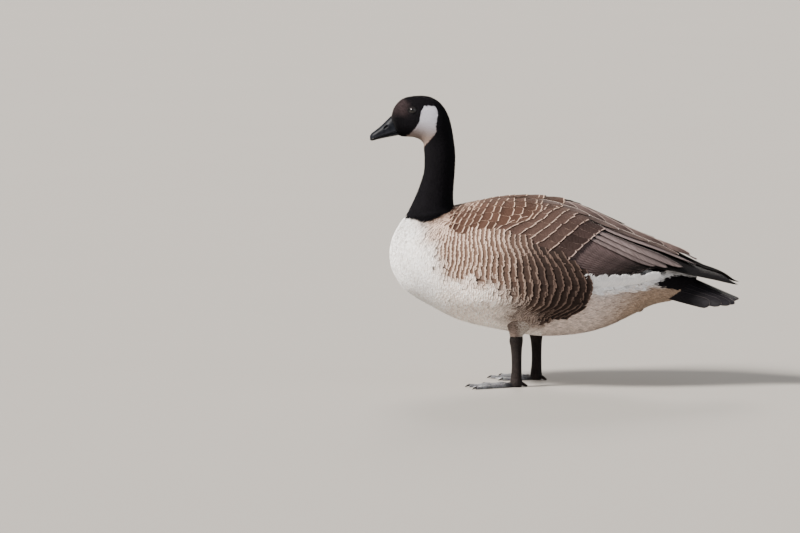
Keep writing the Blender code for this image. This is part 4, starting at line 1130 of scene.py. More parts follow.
# The innermost long feathers of each wing: y and degrees of their roots and tips, half width, lift and
# colours; those of the wing that is carried higher lie one beyond the other over the middle of the back
innerFeathers = {
    1: dict(root=[(108, 14), (70, 13), (32, 11), (-10, 10), (-46, 9)], tip=[(214, 17), (164, 17), (112, 15.5), (62, 12), (14, 10)],
            width=[9.0, 10.5, 11.0, 11.0, 10.5], lift=(0.4, 3.6), tone=(0.085, 0.060, 0.053), edge=(0.62, 0.50, 0.44)),
    -1: dict(root=[(122, 14), (74, 13), (30, 11), (150, 5), (104, 4), (56, 4), (12, 4), (-32, 4)],
             tip=[(224, 14), (172, 12.5), (120, 11), (232, 4), (187, -3), (138, -4), (89, -4.5), (42, -4)],
             width=[9.5, 11, 11, 6.5, 10.5, 11.5, 12, 12], lift=(-0.8, [2.2, 2.4, 2.4, 7.0, 7.5, 5.0, 3.5, 2.6]), tone=(0.075, 0.053, 0.048),
             edge=(0.30, 0.235, 0.21)),
}
# Scapulars, from the tail end forward: lines of their tips as for the coverts
scapularLines = [
    [(16, 9), (14, 17), (4, 25)], [(-19, 9), (-18, 28), (-22, 37), (-29, 45)], [(-26, 9), (-25, 27), (-30, 38), (-38, 46)],
    [(-48, 8), (-45, 27), (-47, 41), (-57, 50)], [(-66, 8), (-62, 26), (-64, 39), (-76, 53)],
    [(-76, 8), (-84, 31), (-87, 46), (-97, 58)], [(-92, 7), (-97, 28), (-101, 44), (-111, 56)],
    [(-104, 8), (-110, 28), (-115, 40), (-127, 58)], [(-116, 8), (-121, 24), (-128, 40), (-141, 59)],
    [(-127, 8), (-131, 20), (-138, 38), (-150, 58)], [(-138, 8), (-144, 26), (-158, 54)], [(-149, 8), (-155, 26), (-168, 52)],
    [(-158, 10), (-164, 24), (-172, 46)],
]


def flightFeathers(side, chart):
    number = sum(t["count"] for t in flightTiers.values())
    cells = math.ceil(math.sqrt(number))
    vanes, done = Vanes(), 0
    for name, tier in flightTiers.items():
        count = tier["count"]
        if "root" in tier:
            root, tip = (np.array(tier[k], float) * [1, math.radians(1)] for k in ("root", "tip"))
        else:
            root, tip = tierOf(*tier["ends"], count, 2.0)
        width = np.linspace(*tier["width"], count)
        look = dict(rows=fineRows, columns=fineAcross, lowest=tier["lift"][0], highest=tier["lift"][1], tilt=tier["tilt"],
                    camber=0.5, bow=np.radians(tier.get("bow", 0)), ragged=0.4, shape=tier["shape"], rimSide=tier["rimSide"],
                    upper=tier.get("upper"), thick=0.45)
        points, rim, vane, t, u = longFeathers(chart, root, tip, width, look)
        number, rows, columns = points.shape[:3]
        # each has a cell of the bake's map, the upper side in one half of it and the under side in the other
        cell = np.arange(done, done + count)
        patch = np.zeros((count, 2, len(t), len(u), 2))
        for half in (0, 1):
            patch[:, half, ..., 0] = (cell % cells)[:, None, None] + 0.26 + 0.48 * half + 0.22 * u[None, None, :]
            patch[:, half, ..., 1] = (cell // cells)[:, None, None] + 0.04 + 0.92 * t[None, :, None]
        shade = 1 + 0.10 * chance.normal(size=(count, 1))
        # painted shade: darker towards the tips, where the lower feathers turn under, and beside the feather above,
        # where that one overlaps
        along = 1 + (tier["tipShade"] - 1) * smoothStep(np.tile(t, 2), 0.35, 0.92)
        besideShade = np.broadcast_to(tier.get("besideShade", 0.35), count)[:, None]
        across = besideShade + (1 - besideShade) * smoothStep(u * side, -0.7, 0.35)[None]
        tone = (np.array(tier["tone"]) * shade)[:, None, None, :] * (along[None, :, None] * across[:, None])[..., None]
        vanes.add(points, rim, vane, tone, np.array(tier["edge"]) * shade, patch.reshape(count, rows, columns, 2) / cells, True)
        done += count
    name = "left" if side > 0 else "right"
    vanes.build(f"flightFeathers_{name}", flightFinish, "wing_plumage", (f"wing_{name}",))


def covertPatches(root, t, u):
    # the wing's own unwrap: its angle across and its length up
    return patches(np.stack([root[:, 1] / 2.6 + 0.05, (root[:, 0] + 180) / 520], -1), t, u, 0.006)


def wingCoverts(side, chart):
    vanes = Vanes()

    def add(row, tone, edge, root, look):
        # painted shade: darker where the next row lies over it; the far wing's inner feathers darker towards their
        # lower ends
        points, rim, vane, t, u = row
        shade = 1 + 0.09 * chance.normal(size=(len(points), 1))
        along = 0.6 + 0.5 * smoothStep(t, 0.45, 0.95) if look.get("upper") != -1 else 1.35 - 0.8 * smoothStep(t, 0.4, 0.95)
        tone = (np.array(tone) * shade)[:, None, :] * along[None, :, None]
        vanes.add(points, rim, vane, tone, np.array(edge) * shade, covertPatches(root, t, u))

    for tier in covertTiers.values():
        root, tip, half, ahead = rowAlong(chart, tier["line"], tier, tier.get("uneven", 1.8))
        look = dict(rows=smallRows, columns=smallAcross, lowest=tier["lift"][0], highest=tier["lift"][1], tilt=0.3,
                    camber=0.3, ragged=0.5, shape=(0.8, 0.2, 0.14, 0.32), rimSide=2.0, bare=1.45, rising=0.55, line=ahead)
        add(longFeathers(chart, root, tip, half, look), tier["tone"], tier["edge"], root, look)
    inner = innerFeathers[side]
    scale = np.array([1, math.radians(1)])
    look = dict(rows=smallRows, columns=smallAcross, lowest=inner["lift"][0], highest=inner["lift"][1], tilt=-0.4 * side,
                camber=0.5, ragged=0.3, shape=(0.6, 0.35, 0.45, 0.002), rimSide=1.0, upper=side)
    root, tip = np.array(inner["root"]) * scale, np.array(inner["tip"]) * scale
    add(longFeathers(chart, root, tip, np.array(inner["width"], float), look), inner["tone"], inner["edge"], root, look)
    for row, line in enumerate(scapularLines):
        line = [(line[0][0], -2 if side < 0 else line[0][1])] + line[1:]
        size = dict(width=26.0 - 1.2 * row, long=54 - 1.6 * row, lean=0.22, over=1.25)
        root, tip, half, ahead = rowAlong(chart, line, size, 1.6)
        look = dict(rows=smallRows, columns=smallAcross, lowest=-2.2, highest=2.7 + 0.05 * row, tilt=0.3, camber=0.4,
                    ragged=0.5, shape=(0.7, 0.35, 0.19, 0.28), rimSide=2.0, bare=1.25, rising=0.55, line=ahead)
        tone = blend((0.046, 0.0265, 0.020), (0.056, 0.030, 0.0215), smoothStep(line[0][0], 20, -60))
        add(longFeathers(chart, root, tip, half, look), tone, (0.46, 0.325, 0.25), root, look)
    vanes.build("wingCoverts_left" if side > 0 else "wingCoverts_right", wingFinish, "wing_plumage")


tuftSizes = {"rows": 3, "count": 80, "first": 46, "last": 176, "lump": 21.0, "root": 103.0, "tip": 93.5, "rise": 3.6}


def rumpTufts(side, chart):
    # soft white feathers that stand up over the wing's lower edge in rounded lumps
    size = tuftSizes
    vanes = Vanes()
    for row in range(size["rows"]):
        y = np.linspace(size["first"], size["last"], size["count"]) + chance.uniform(-1, 1, size["count"])
        lump = np.abs(np.sin(math.pi * (y - size["first"]) / size["lump"] + 0.6 * np.sin(y / 17))) ** 0.7
        falling = np.interp(y, [34, 150, 176], [0, 0, -6])
        tip = np.stack([y + 11, np.radians(size["tip"] - size["rise"] * lump + 3.0 * row + falling)], -1)
        root = np.stack([y, np.radians(size["root"] + 2.5 * row + 0 * y + falling)], -1)
        number = len(y)
        look = dict(rows=[0, 0.3, 0.6, 0.85, 1.0], columns=[-1, 0, 1], lowest=-5.0, highest=0.6 + 1.6 * lump - 0.8 * row,
                    tilt=0.0, camber=0.3, ragged=1.6, shape=(0.6, 0.4, 0.5, 0.002), rimSide=2.0)
        points, rim, vane, t, u = longFeathers(chart, root, tip, np.full(number, 2.6), look)
        tone = np.array(coatColours["rump"]) * (1 + 0.04 * chance.normal(size=(number, 1)))
        edge = np.tile(coatColours["rumpEdge"], (number, 1))
        vanes.add(points, rim, vane, np.minimum(tone, 0.95), edge, covertPatches(root, t, u))
    vanes.build("rumpTufts_left" if side > 0 else "rumpTufts_right", whiteFinish, "white_plumage")


for side in (1, -1):
    chart = wingChart(side)
    flightFeathers(side, chart)
    wingCoverts(side, chart)
    rumpTufts(side, chart)


# Tail

tailSizes = {"count": 16, "root": (212.0, 197.0, 27.0, 47.0, 1.30), "tip": (318.0, 150.0, 46.0, 14.0, 1.10), "rounding": 15.0,
             "width": 9.5}


def tailPoint(turn, part):
    # lines from an arch at the rump to a lower, wider and flatter one at the tips
    def arch(shape):
        y, top, wide, fall, spread = shape
        x = wide * np.sin(spread * turn) / math.sin(spread)
        drop = fall * (1 - np.cos(spread * turn)) / (1 - math.cos(spread))
        return np.stack([x, y + 0 * x, top - drop], -1)
    start, end = arch(tailSizes["root"]), arch(tailSizes["tip"])
    end[..., 1] -= tailSizes["rounding"] * turn ** 2
    return start + (end - start) * part[..., None]


def tail():
    part, turn = np.linspace(-0.35, 1.06, 80), np.linspace(-1.25, 1.25, 101)
    grid = np.meshgrid(part, turn, indexing="ij")
    points = tailPoint(grid[1], grid[0])
    chart = Chart(part, turn, points, points.mean(axis=1, keepdims=True) - np.array([0, 0, 60]))
    count = tailSizes["count"]
    rank = np.linspace(-0.93, 0.93, count)
    order = np.argsort(-np.abs(rank))
    rank = rank[order]
    root = np.stack([np.full(count, -0.30), rank * 0.96], -1)
    short = np.interp(np.abs(rank), [0.55, 0.7, 0.82, 0.93], [0, 0.05, 0.20, 0.36])
    tip = np.stack([0.985 - short + chance.uniform(-0.02, 0.02, count), rank], -1)
    lift = 0.9 * (1 - np.abs(rank) * 1.6)
    look = dict(rows=fineRows, columns=fineAcross, lowest=lift - 1.2, highest=lift, tilt=-0.9, camber=0.5, bow=0.0,
                ragged=0.5, shape=(0.75, 0.2, 0.13, 0.002), rimSide=2.0, thick=0.45)
    points, rim, vane, t, u = longFeathers(chart, root, tip, np.full(count, tailSizes["width"]), look)
    cells = 4
    cell = np.arange(count)
    patch = np.zeros((count, 2, len(t), len(u), 2))
    for half in (0, 1):
        patch[:, half, ..., 0] = (cell % cells)[:, None, None] + 0.26 + 0.48 * half + 0.22 * u[None, None, :]
        patch[:, half, ..., 1] = (cell // cells)[:, None, None] + 0.04 + 0.92 * t[None, :, None]
    shade = 1 + 0.10 * chance.normal(size=(count, 1))
    vanes = Vanes()
    vanes.add(points, rim, vane, np.array([0.0095, 0.0083, 0.0104]) * shade, np.array([0.085, 0.070, 0.066]) * shade,
              patch.reshape(count, 2 * len(t), len(u), 2) / cells, True)
    vanes.build("tailFeathers", flightFinish, "tail_plumage", ("tail",))


tail()


# Bill. Top y and z, lower y and z and half width of each section, as in the solids

billRows = {
    "upper": np.array([(-281.8, 461.1, -271, 434.6, 13.6), (-289, 453.4, -282, 431.4, 12.8), (-299, 443.8, -294.6, 427.8, 11.6),
                       (-308.4, 436, -306, 424.2, 10.4), (-315.2, 430.9, -313.6, 421.6, 8.4), (-318.6, 426, -317.8, 418.4, 4.2)]),
    "lower": np.array([(-270.7, 433.9, -268.2, 427.7, 12.6), (-282, 430.8, -280.2, 425.4, 11.8), (-294.6, 427.2, -293.4, 422.8, 10.4),
                       (-306, 423.6, -305.2, 420, 8.6), (-312.4, 421.6, -312, 418.2, 6.6), (-316.4, 419.9, -316, 417.6, 4.4)]),
}
nostril = {"y": -289.5, "z": 442.0, "long": 4.6, "tall": 1.7, "tilt": math.radians(38), "deep": 2.2}


def billFinish():
    made = Finish("horn", Roughness=0.36, Specular_IOR_Level=0.045)
    where = made.place()
    cloud = made.noise(where, 120.0, 4.0, 0.6)
    fine = made.noise(where, 900.0, 3.0, 0.6)
    grain = made.mix((0.0035, 0.004, 0.0055), (0.010, 0.011, 0.0145), cloud.ramp(0.35, 0.7))
    made.give("Base Color", made.mix(grain, (0.030, 0.031, 0.036), made.attribute("worn", "Fac") * 0.6))
    made.give("Roughness", 0.30 + fine * 0.2)
    made.give("Normal", made.bump(fine + cloud * 0.6, 0.25, 0.0004))
    return made.material


def halfBill(rows, under):
    # an arch on a flat base; the upper half has a ridge, pits for the nostrils, a nail and an overhanging rim
    rings, around = 72, 64
    place = np.linspace(0, len(rows) - 1, rings)
    shape = curveThrough(rows, place)
    turn = np.linspace(0, math.pi, around - 14)
    base, peak = shape[:, 2:4], shape[:, 0:2]
    if under:
        base, peak = peak, base
    width = shape[:, 4]
    share = np.linspace(0, 1, rings)
    rise = np.sin(turn) ** 0.85
    arch = np.zeros((rings, len(turn), 3))
    arch[..., 0] = width[:, None] * np.cos(turn)
    arch[..., 1:] = base[:, None] + (peak - base)[:, None] * rise[None, :, None]
    worn = np.zeros((rings, around))
    if not under:
        # rim that overhangs the lower half
        low = smoothStep(rise, 0.30, 0.05)[None, :]
        arch[..., 0] *= 1 + 0.035 * low
        out = np.sign(np.cos(turn))[None, :]
        dy, dz = arch[..., 1] - nostril["y"], arch[..., 2] - nostril["z"]
        c, s = math.cos(nostril["tilt"]), math.sin(nostril["tilt"])
        along, across = dy * c + dz * s, dz * c - dy * s
        pit = smoothStep(np.hypot(along / nostril["long"], across / nostril["tall"]), 1.25, 0.55)
        arch[..., 0] -= out * pit * nostril["deep"]
        brow = smoothStep(np.hypot(along / (nostril["long"] * 1.7), across / (nostril["tall"] * 2.6)), 1.3, 0.7) * (1 - pit)
        arch[..., 0] += out * brow * 0.25
        nail = smoothStep(share, 0.80, 0.86)[:, None] * smoothStep(np.abs(np.cos(turn)), 0.80, 0.62)[None, :]
        arch[..., 2] += 0.55 * nail
        ridge = smoothStep(np.abs(np.cos(turn)), 0.25, 0.0)[None, :] * smoothStep(share, 0.0, 0.2)[:, None]
        arch[..., 2] += 0.35 * ridge * (1 - nail)
        worn[:, :len(turn)] = np.maximum(0.7 * nail, low * 0.5)
    floor = np.zeros((rings, 14, 3))
    spread = np.linspace(-1, 1, 16)[1:-1]
    floor[..., 0] = width[:, None] * spread * 0.97
    floor[..., 1:] = base[:, None]
    # the roof of the mouth is hollowed a little, as is the tongue's side of the lower half
    floor[..., 2] += (0.9 if not under else -0.7) * (1 - spread ** 2)[None, :] * smoothStep(share, 1.0, 0.8)[:, None]
    points = np.concatenate([arch, floor], axis=1)
    return points, worn


def bill():
    finish = billFinish()
    for name, under in (("upper", False), ("lower", True)):
        points, worn = halfBill(billRows[name], under)
        faces = outward(points, tubeFaces(*points.shape[:2]))
        piece = makePiece("bill" + name.capitalize(), points, faces, finish, numbers={"worn": worn})
        settle(piece, ("bill_" + name,))
    report("Bill")


bill()


# Eyes: a dark brown iris under a clear bulging cornea, and lids with a fine rim

def eyeFinish():
    made = Finish("eyeball", Roughness=0.08, Specular_IOR_Level=0.2, Coat_Weight=0.55, Coat_Roughness=0.02)
    off = made.attribute("ring", "Fac")
    ray = made.noise(made.place(), 1400.0, 2.0)
    iris = made.mix((0.004, 0.0025, 0.002), (0.010, 0.0055, 0.0035), ray.ramp(0.35, 0.7))
    colour = made.mix((0.002, 0.002, 0.002), iris, off.ramp(0.34, 0.38))
    made.give("Base Color", made.mix(colour, (0.004, 0.003, 0.003), off.ramp(0.62, 0.76)))
    return made.material


def lidFinish():
    made = Finish("lidSkin", Roughness=0.6, Specular_IOR_Level=0.15)
    grain = made.noise(made.place(), 1500.0, 3.0, 0.6)
    made.give("Base Color", made.mix((0.0025, 0.0022, 0.0024), (0.008, 0.007, 0.007), grain.ramp(0.35, 0.7)))
    made.give("Normal", made.bump(grain, 0.5, 0.0003))
    return made.material


def eyes():
    ball, rim = eyeFinish(), lidFinish()
    for side, name in ((1, "left"), (-1, "right")):
        centre, out = eyeSpot(side)
        ahead = unit(np.array([0, -1.0, 0]) - out * dot(np.array([0, -1.0, 0]), out))
        up = unit(np.cross(out, ahead)) * side
        up = up * np.sign(up[2])
        # the ball: rings round the way it looks, pushed out over the iris for the cornea
        turn = np.arange(48) / 48 * 2 * math.pi
        tilt = np.linspace(0.0, math.pi, 40)[1:-1]
        radius = eyeSizes["radius"] + 0.5 * smoothStep(tilt, 0.65, 0.25)
        ring = np.cos(turn)[:, None] * ahead + np.sin(turn)[:, None] * up
        ball3 = centre + radius[:, None, None] * (
            np.cos(tilt)[:, None, None] * out + np.sin(tilt)[:, None, None] * ring[None])
        ringShare = np.repeat(np.sin(np.minimum(tilt, math.pi / 2))[:, None], 48, axis=1)
        faces = outward(ball3, tubeFaces(len(tilt), 48))
        settle(makePiece(f"eye_{name}Ball", ball3, faces, ball, numbers={"ring": ringShare}), (f"eye_{name}",))
        # the lids: a soft roll round an opening that is a little longer than tall
        turn = np.linspace(0, 2 * math.pi, 73)[:-1]
        roll = np.linspace(0, 2 * math.pi, 17)[:-1]
        opening = eyeSizes["opening"]
        wide, tall = opening * (1.02 + 0.06 * np.cos(turn) ** 8), opening * 0.90
        path = np.cos(turn)[:, None] * ahead * wide[:, None] + np.sin(turn)[:, None] * up * tall
        away = np.linalg.norm(path, axis=1)
        depth = np.sqrt(np.maximum((eyeSizes["radius"] + 0.15) ** 2 - away ** 2, 0))
        middle = centre + path + depth[:, None] * out
        outer = unit(path)
        thick = 0.75 + 0.2 * np.sin(turn) + 0.06 * np.sin(turn * 22)
        lids = middle[:, None] + thick[:, None, None] * (
            np.cos(roll)[None, :, None] * outer[:, None] * 1.15 + np.sin(roll)[None, :, None] * out)
        i, j = np.arange(72)[:, None], np.arange(16)[None, :]
        a, b = (i * 16 + j).ravel(), (i * 16 + (j + 1) % 16).ravel()
        c, d = (((i + 1) % 72) * 16 + (j + 1) % 16).ravel(), (((i + 1) % 72) * 16 + j).ravel()
        faces = outward(lids, [np.stack([a, b, c, d], -1)])
        settle(makePiece(f"eyelids_{name}", lids, faces, rim))
    report("Eyes")


eyes()


# Legs and feet, as in the solids: toes' length, angle outward, thickness at the root, joints

toeSizes = {"middle": (80.0, math.radians(2), 5.4, 3), "outer": (76.0, math.radians(27), 5.0, 4),
            "inner": (60.0, math.radians(-24), 4.8, 2)}
footSizes = {"splay": math.radians(5), "claw": 8.0, "web": 1.6, "hindToe": 18.5}


def scaledFinish(name, look):
    # small plates parted by paler creases, with the ankle's colour where the attribute says so
    made = Finish(name, Roughness=look["roughness"], Specular_IOR_Level=look["gloss"])
    where = made.place()
    cell = made.node("ShaderNodeTexVoronoi", {"feature": "DISTANCE_TO_EDGE"}, {"Vector": where, "Scale": look["plates"]})
    pick = made.node("ShaderNodeTexVoronoi", {"feature": "F1"}, {"Vector": where, "Scale": look["plates"]}, "Color")
    crease = cell.ramp(0.10, 0.02)
    cloud = made.noise(where, 70.0, 3.0, 0.6)
    fine = made.noise(where, 900.0, 3.0, 0.6)
    plate = made.mix(look["dark"], look["light"], cloud.ramp(0.35, 0.7))
    plate = made.mix(plate, pick, 0.10, "OVERLAY")
    plate = made.mix(plate, look["crease"], crease * 0.8)
    made.give("Base Color", made.mix(plate, look["ankle"], made.attribute("ankle", "Fac")))
    made.give("Roughness", look["roughness"] - 0.08 + fine * 0.2)
    made.give("Normal", made.bump(cell.ramp(0.0, 0.25) + fine * 0.25, 0.7, 0.0006))
    return made.material


def clawFinish():
    made = Finish("claw", Roughness=0.45, Specular_IOR_Level=0.15)
    grain = made.noise(made.place(), 500.0, 3.0, 0.6)
    made.give("Base Color", made.mix((0.006, 0.0055, 0.0055), (0.022, 0.020, 0.019), grain.ramp(0.35, 0.75)))
    made.give("Normal", made.bump(grain, 0.3, 0.0003))
    return made.material


legFinish = scaledFinish("legPlates", dict(roughness=0.55, gloss=0.10, plates=430.0, dark=(0.0045, 0.0032, 0.0028),
                                           light=(0.012, 0.0085, 0.0075), crease=(0.026, 0.019, 0.017),
                                           ankle=(0.006, 0.0045, 0.004)))
# the toes' grey is painted: the feet are near black, and the grey stands in for the sky's reflection on their wet skin
toeFinish = scaledFinish("toePlates", dict(roughness=0.5, gloss=0.25, plates=430.0, dark=(0.040, 0.040, 0.045),
                                           light=(0.15, 0.15, 0.162), crease=(0.20, 0.20, 0.21),
                                           ankle=(0.010, 0.009, 0.010)))
# the webs' light grey is a painted reflection of the sky on wet skin; near the shank they keep the feet's near-black
# colour
webFinish = scaledFinish("webSkin", dict(roughness=0.45, gloss=0.3, plates=620.0, dark=(0.32, 0.32, 0.345),
                                         light=(0.62, 0.62, 0.65), crease=(0.66, 0.66, 0.68),
                                         ankle=(0.020, 0.019, 0.021)))


def shank(side):
    rings, around = 90, 48
    place, turn = np.linspace(0, 5, rings), np.arange(around) / around * 2 * math.pi
    grid = np.meshgrid(place, turn, indexing="ij")
    points = limbPoint(shankRows, *grid, side)
    # broad plates down the front, a knobbly joint at the top
    height = points[..., 2]
    front = smoothStep(-np.sin(grid[1]), 0.3, 0.9)
    plates = np.abs(np.sin(height * math.pi / 4.2)) ** 0.5 - 0.6
    points[..., 1] -= front * plates * 0.35
    knob = smoothStep(np.abs(height - 79), 9, 0) * np.sin(grid[1] * 5 + height * 0.5) * 0.35
    points[..., 0] += np.cos(grid[1]) * knob
    name = "left" if side > 0 else "right"
    piece = makePiece(f"shank_{name}", points, outward(points, tubeFaces(rings, around)), legFinish)
    settle(piece, (f"leg_{name}",))


def toePoints(length, angle, thick, joints, side):
    # rings of a low arch on the floor, swollen at the joints and ribbed by the plates on top
    along = np.linspace(0, 1, 58) * length
    around = 20
    swell = 1 + 0.09 * np.cos(along / length * joints * 2 * math.pi)
    half = thick * (1 - 0.45 * along / length) * swell
    tall = half * 1.75
    turn = np.linspace(-0.12, math.pi + 0.12, around - 3)
    arch = np.stack([np.cos(turn), np.maximum(np.sin(turn), 0) ** 0.8 * 0.98 + 0.02], -1)
    arch = np.concatenate([arch, [(-0.6, 0), (0, 0), (0.6, 0)]])
    direction = side * (angle + footSizes["splay"])
    forward = np.array([math.sin(direction), -math.cos(direction), 0])
    sideways = np.array([math.cos(direction), math.sin(direction), 0])
    ribs = 1 + 0.035 * (np.abs(np.sin(along * math.pi / 3.0)) ** 0.6)[:, None] * (arch[None, :, 1] > 0.5)
    return (legPlace(side) + forward * along[:, None, None] + sideways * (arch[None, :, 0] * half[:, None])[..., None]
            + np.array([0, 0, 1.0]) * (arch[None, :, 1] * tall[:, None] * ribs)[..., None])


def clawPoints(length, angle, thick, side):
    # a blunt nail that curves down from the end of a toe to the floor
    share = np.linspace(0, 1, 22)
    along = length - 2.5 + share * (footSizes["claw"] + 2.5)
    half = thick * np.interp(share, [0, 0.25, 0.6, 0.9, 1], [0.40, 0.45, 0.34, 0.16, 0.03])
    middle = thick * np.interp(share, [0, 0.3, 0.6, 0.9, 1], [0.72, 0.70, 0.52, 0.24, 0.06])
    tall = thick * np.interp(share, [0, 0.25, 0.6, 0.9, 1], [0.36, 0.40, 0.32, 0.16, 0.04])
    turn = np.arange(14) / 14 * 2 * math.pi
    direction = side * (angle + footSizes["splay"])
    forward = np.array([math.sin(direction), -math.cos(direction), 0])
    sideways = np.array([math.cos(direction), math.sin(direction), 0])
    points = (legPlace(side) + forward * along[:, None, None] + sideways * (half[:, None] * np.cos(turn))[..., None])
    points[..., 2] = middle[:, None] + tall[:, None] * np.sin(turn)
    points[..., 2] = np.maximum(points[..., 2], 0.0)
    return points


def webPoints(first, second, side):
    # skin between two toes, sagging a little, with a hollow front edge and folds that run outward
    across, out = np.meshgrid(np.linspace(0, 1, 34), np.linspace(0.12, 1, 40))
    length = first[0] + (second[0] - first[0]) * across
    angle = side * (first[1] + (second[1] - first[1]) * across + footSizes["splay"])
    reach = length * (0.97 - 0.16 * np.sin(math.pi * across)) * out
    lift = np.sin(math.pi * across)
    fold = 0.35 * np.sin(across * 26 + 2.5 * np.sin(out * 5)) * smoothStep(out, 0.1, 0.5) * lift ** 0.5
    height = 2.4 - 0.9 * lift + fold - 0.6 * smoothStep(out, 0.85, 1.0)
    flat = legPlace(side) + reach[..., None] * np.stack([np.sin(angle), -np.cos(angle), 0 * angle], -1)
    top, under = flat.copy(), flat.copy()
    top[..., 2] = height
    under[..., 2] = 0.5
    return np.concatenate([top, under])


def slabFaces(rows, columns):
    # the faces of a thin solid whose upper grid comes first and its lower one second
    ring = np.concatenate([
        np.arange(columns), np.arange(1, rows) * columns + columns - 1,
        (rows - 1) * columns + np.arange(columns - 2, -1, -1), np.arange(rows - 2, 0, -1) * columns])
    after = np.roll(ring, -1)
    wall = np.stack([ring, ring + rows * columns, after + rows * columns, after], -1)
    return [np.concatenate([gridFaces(rows, columns), gridFaces(rows, columns, True, rows * columns), wall])]


def foot(side):
    name = "left" if side > 0 else "right"

    def ankle(parts):
        # 1 beside the shank and 0 further out along the toes, for each point of a piece
        points = np.concatenate([np.reshape(points, (-1, 3)) for points, _ in parts])
        away = np.hypot(*(points - legPlace(side))[:, :2].T)
        return {"ankle": smoothStep(away + 3 * ripple(*points.T, 5, 3), 34, 12)}

    turn = np.arange(36) / 36 * 2 * math.pi
    shape = curveThrough(np.array([(0, 8.4, 7.8), (2.5, 10.4, 9.3), (7, 10.6, 9.0), (14.9, 9.5, 7.4)]), np.linspace(0, 3, 18))
    heel = np.stack([shape[:, 2:3] * np.cos(turn), shape[:, 1:2] * np.sin(turn), shape[:, 0:1] + 0 * turn], -1) + legPlace(side)
    heel[..., 2] = np.maximum(heel[..., 2], 0)
    # the hind toe, raised at its root, with its end flat on the floor
    start, end = legPlace(side) + [-side * 2.0, 2.0, 9.0], legPlace(side) + [-side * 7.0, footSizes["hindToe"], 1.0]
    way = unit(end - start)
    aside = unit(np.cross(way, [0, 0, 1.0]))
    above = np.cross(aside, way)
    share = np.linspace(0, 1, 20)
    half = np.interp(share, [0, 0.35, 0.62, 0.8, 1.0], [3.6, 3.4, 3.0, 2.2, 1.3]) * (1 + 0.04 * np.sin(share * 40))
    roll = np.arange(20) / 20 * 2 * math.pi
    hind = (start + (end - start) * share[:, None, None]
            + half[:, None, None] * (np.cos(roll)[:, None] * aside + np.sin(roll)[:, None] * above))
    hind[..., 2] = np.maximum(hind[..., 2], 0.0)
    parts = [(heel, outward(heel, tubeFaces(18, 36))), (hind, outward(hind, tubeFaces(20, 20)))]
    settle(makePiece(f"heel_{name}", *joined(parts), legFinish))
    parts = []
    for toe in toeSizes.values():
        rings = toePoints(*toe, side)
        parts.append((rings, outward(rings, tubeFaces(*rings.shape[:2]))))
    settle(makePiece(f"toes_{name}", *joined(parts), toeFinish, numbers=ankle(parts)), (f"foot_{name}",))
    parts = []
    for first, second in (("middle", "outer"), ("inner", "middle")):
        web = webPoints(toeSizes[first], toeSizes[second], side)
        parts.append((web, outward(web, slabFaces(40, 34))))
    settle(makePiece(f"webs_{name}", *joined(parts), webFinish, numbers=ankle(parts)))
    parts = []
    for length, angle, thick, joints in toeSizes.values():
        claw = clawPoints(length, angle, thick, side)
        parts.append((claw, outward(claw, tubeFaces(*claw.shape[:2]))))
    settle(makePiece(f"claws_{name}", *joined(parts), clawFinish()))


for side in (1, -1):
    shank(side)
    foot(side)
report("Legs and feet")


# Floor, light and camera

stageSizes = {"floor": 60000.0, "colour": (0.24, 0.225, 0.205)}


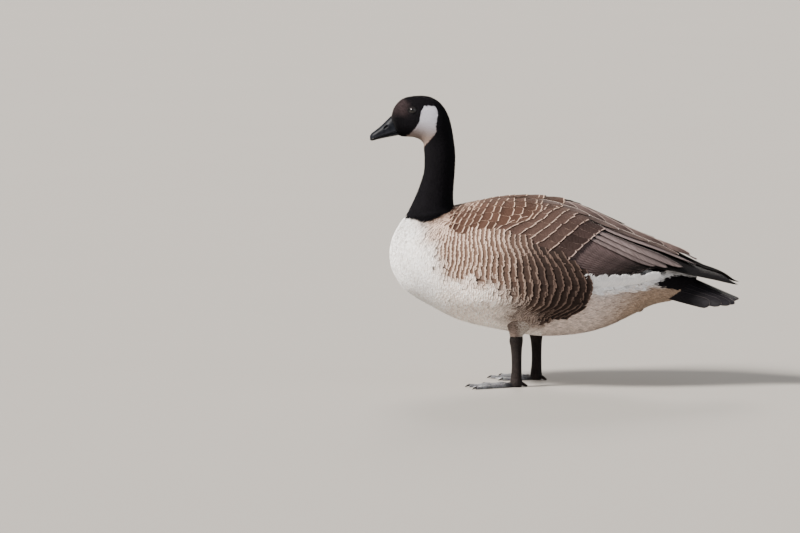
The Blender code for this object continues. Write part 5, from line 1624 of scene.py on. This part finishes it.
def floor():
    made = Finish("paleFloor", Roughness=0.9, Specular_IOR_Level=0.2)
    where = made.place()
    cloud = made.noise(where, 1.3, 4.0, 0.6)
    light = tuple(c * 1.04 for c in stageSizes["colour"])
    made.give("Base Color", made.mix(stageSizes["colour"], light, cloud))
    made.give("Normal", made.bump(made.noise(where, 180.0, 3.0), 0.1, 0.001))
    # rings of a flat disc, wider and wider apart
    far = np.concatenate([[0.0], np.geomspace(200, stageSizes["floor"], 40)])
    turn = np.arange(96) / 96 * 2 * math.pi
    points = np.stack([far[1:, None] * np.cos(turn), far[1:, None] * np.sin(turn), 0 * far[1:, None] + 0 * turn], -1).reshape(-1, 3)
    points = np.concatenate([points, [[0, 0, 0]]])
    i, j = np.arange(39)[:, None] * 96, np.arange(96)
    a, b = (i + j).ravel(), (i + (j + 1) % 96).ravel()
    centre = np.stack([np.full(96, len(points) - 1), j, (j + 1) % 96], -1)
    ground = makePiece("floor", points, [np.stack([a, a + 96, b + 96, b], -1), centre], made.material)


lights = {  # kind, place or way it shines in metres, strength, colour, softness
    "key": dict(turn=(50, 0, 24), strength=13.5, colour=(1.0, 0.955, 0.90), soft=14),
    "fill": dict(turn=(58, 0, 165), strength=0.8, colour=(0.92, 0.96, 1.0), soft=60),
    "rim": dict(turn=(62, 0, -82), strength=2.2, colour=(1.0, 0.93, 0.84), soft=16),
}


def lamps():
    for name, lamp in lights.items():
        data = bpy.data.lights.new(name, "SUN")
        data.energy, data.color, data.angle = lamp["strength"], lamp["colour"], math.radians(lamp["soft"])
        lampObject = bpy.data.objects.new(name, data)
        lampObject.rotation_euler = [math.radians(a) for a in lamp["turn"]]
        bpy.context.scene.collection.objects.link(lampObject)
    world = bpy.data.worlds.new("studio")
    bpy.context.scene.world = world
    world.use_nodes = True
    background = world.node_tree.nodes["Background"]
    background.inputs["Color"].default_value = (0.90, 0.93, 1.0, 1)
    background.inputs["Strength"].default_value = 0.55


view = {"azimuth": 95.0, "elevation": 5.5, "distance": 7500.0, "target": (0.0, -10.0, 230.0), "focal": 4360.0,
        "centre": (548.47, 250.72), "image": (800, 533), "sensor": 36.0}


def camera():
    data = bpy.data.cameras.new("camera")
    turn, rise = math.radians(view["azimuth"]), math.radians(view["elevation"])
    back = np.array([math.sin(turn) * math.cos(rise), -math.cos(turn) * math.cos(rise), math.sin(rise)])
    made = bpy.data.objects.new("camera", data)
    made.location = (np.array(view["target"]) + back * view["distance"]) * 0.001
    made.rotation_euler = (math.pi / 2 - rise, 0, turn)
    wide, tall = view["image"]
    data.sensor_width = view["sensor"]
    data.lens = view["focal"] / wide * view["sensor"]
    data.shift_x = (wide / 2 - view["centre"][0]) / wide
    data.shift_y = (view["centre"][1] - tall / 2) / wide
    data.clip_start, data.clip_end = 0.1, 200.0
    bpy.context.scene.collection.objects.link(made)
    bpy.context.scene.camera = made


floor()
lamps()
camera()
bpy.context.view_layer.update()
report("Stage")
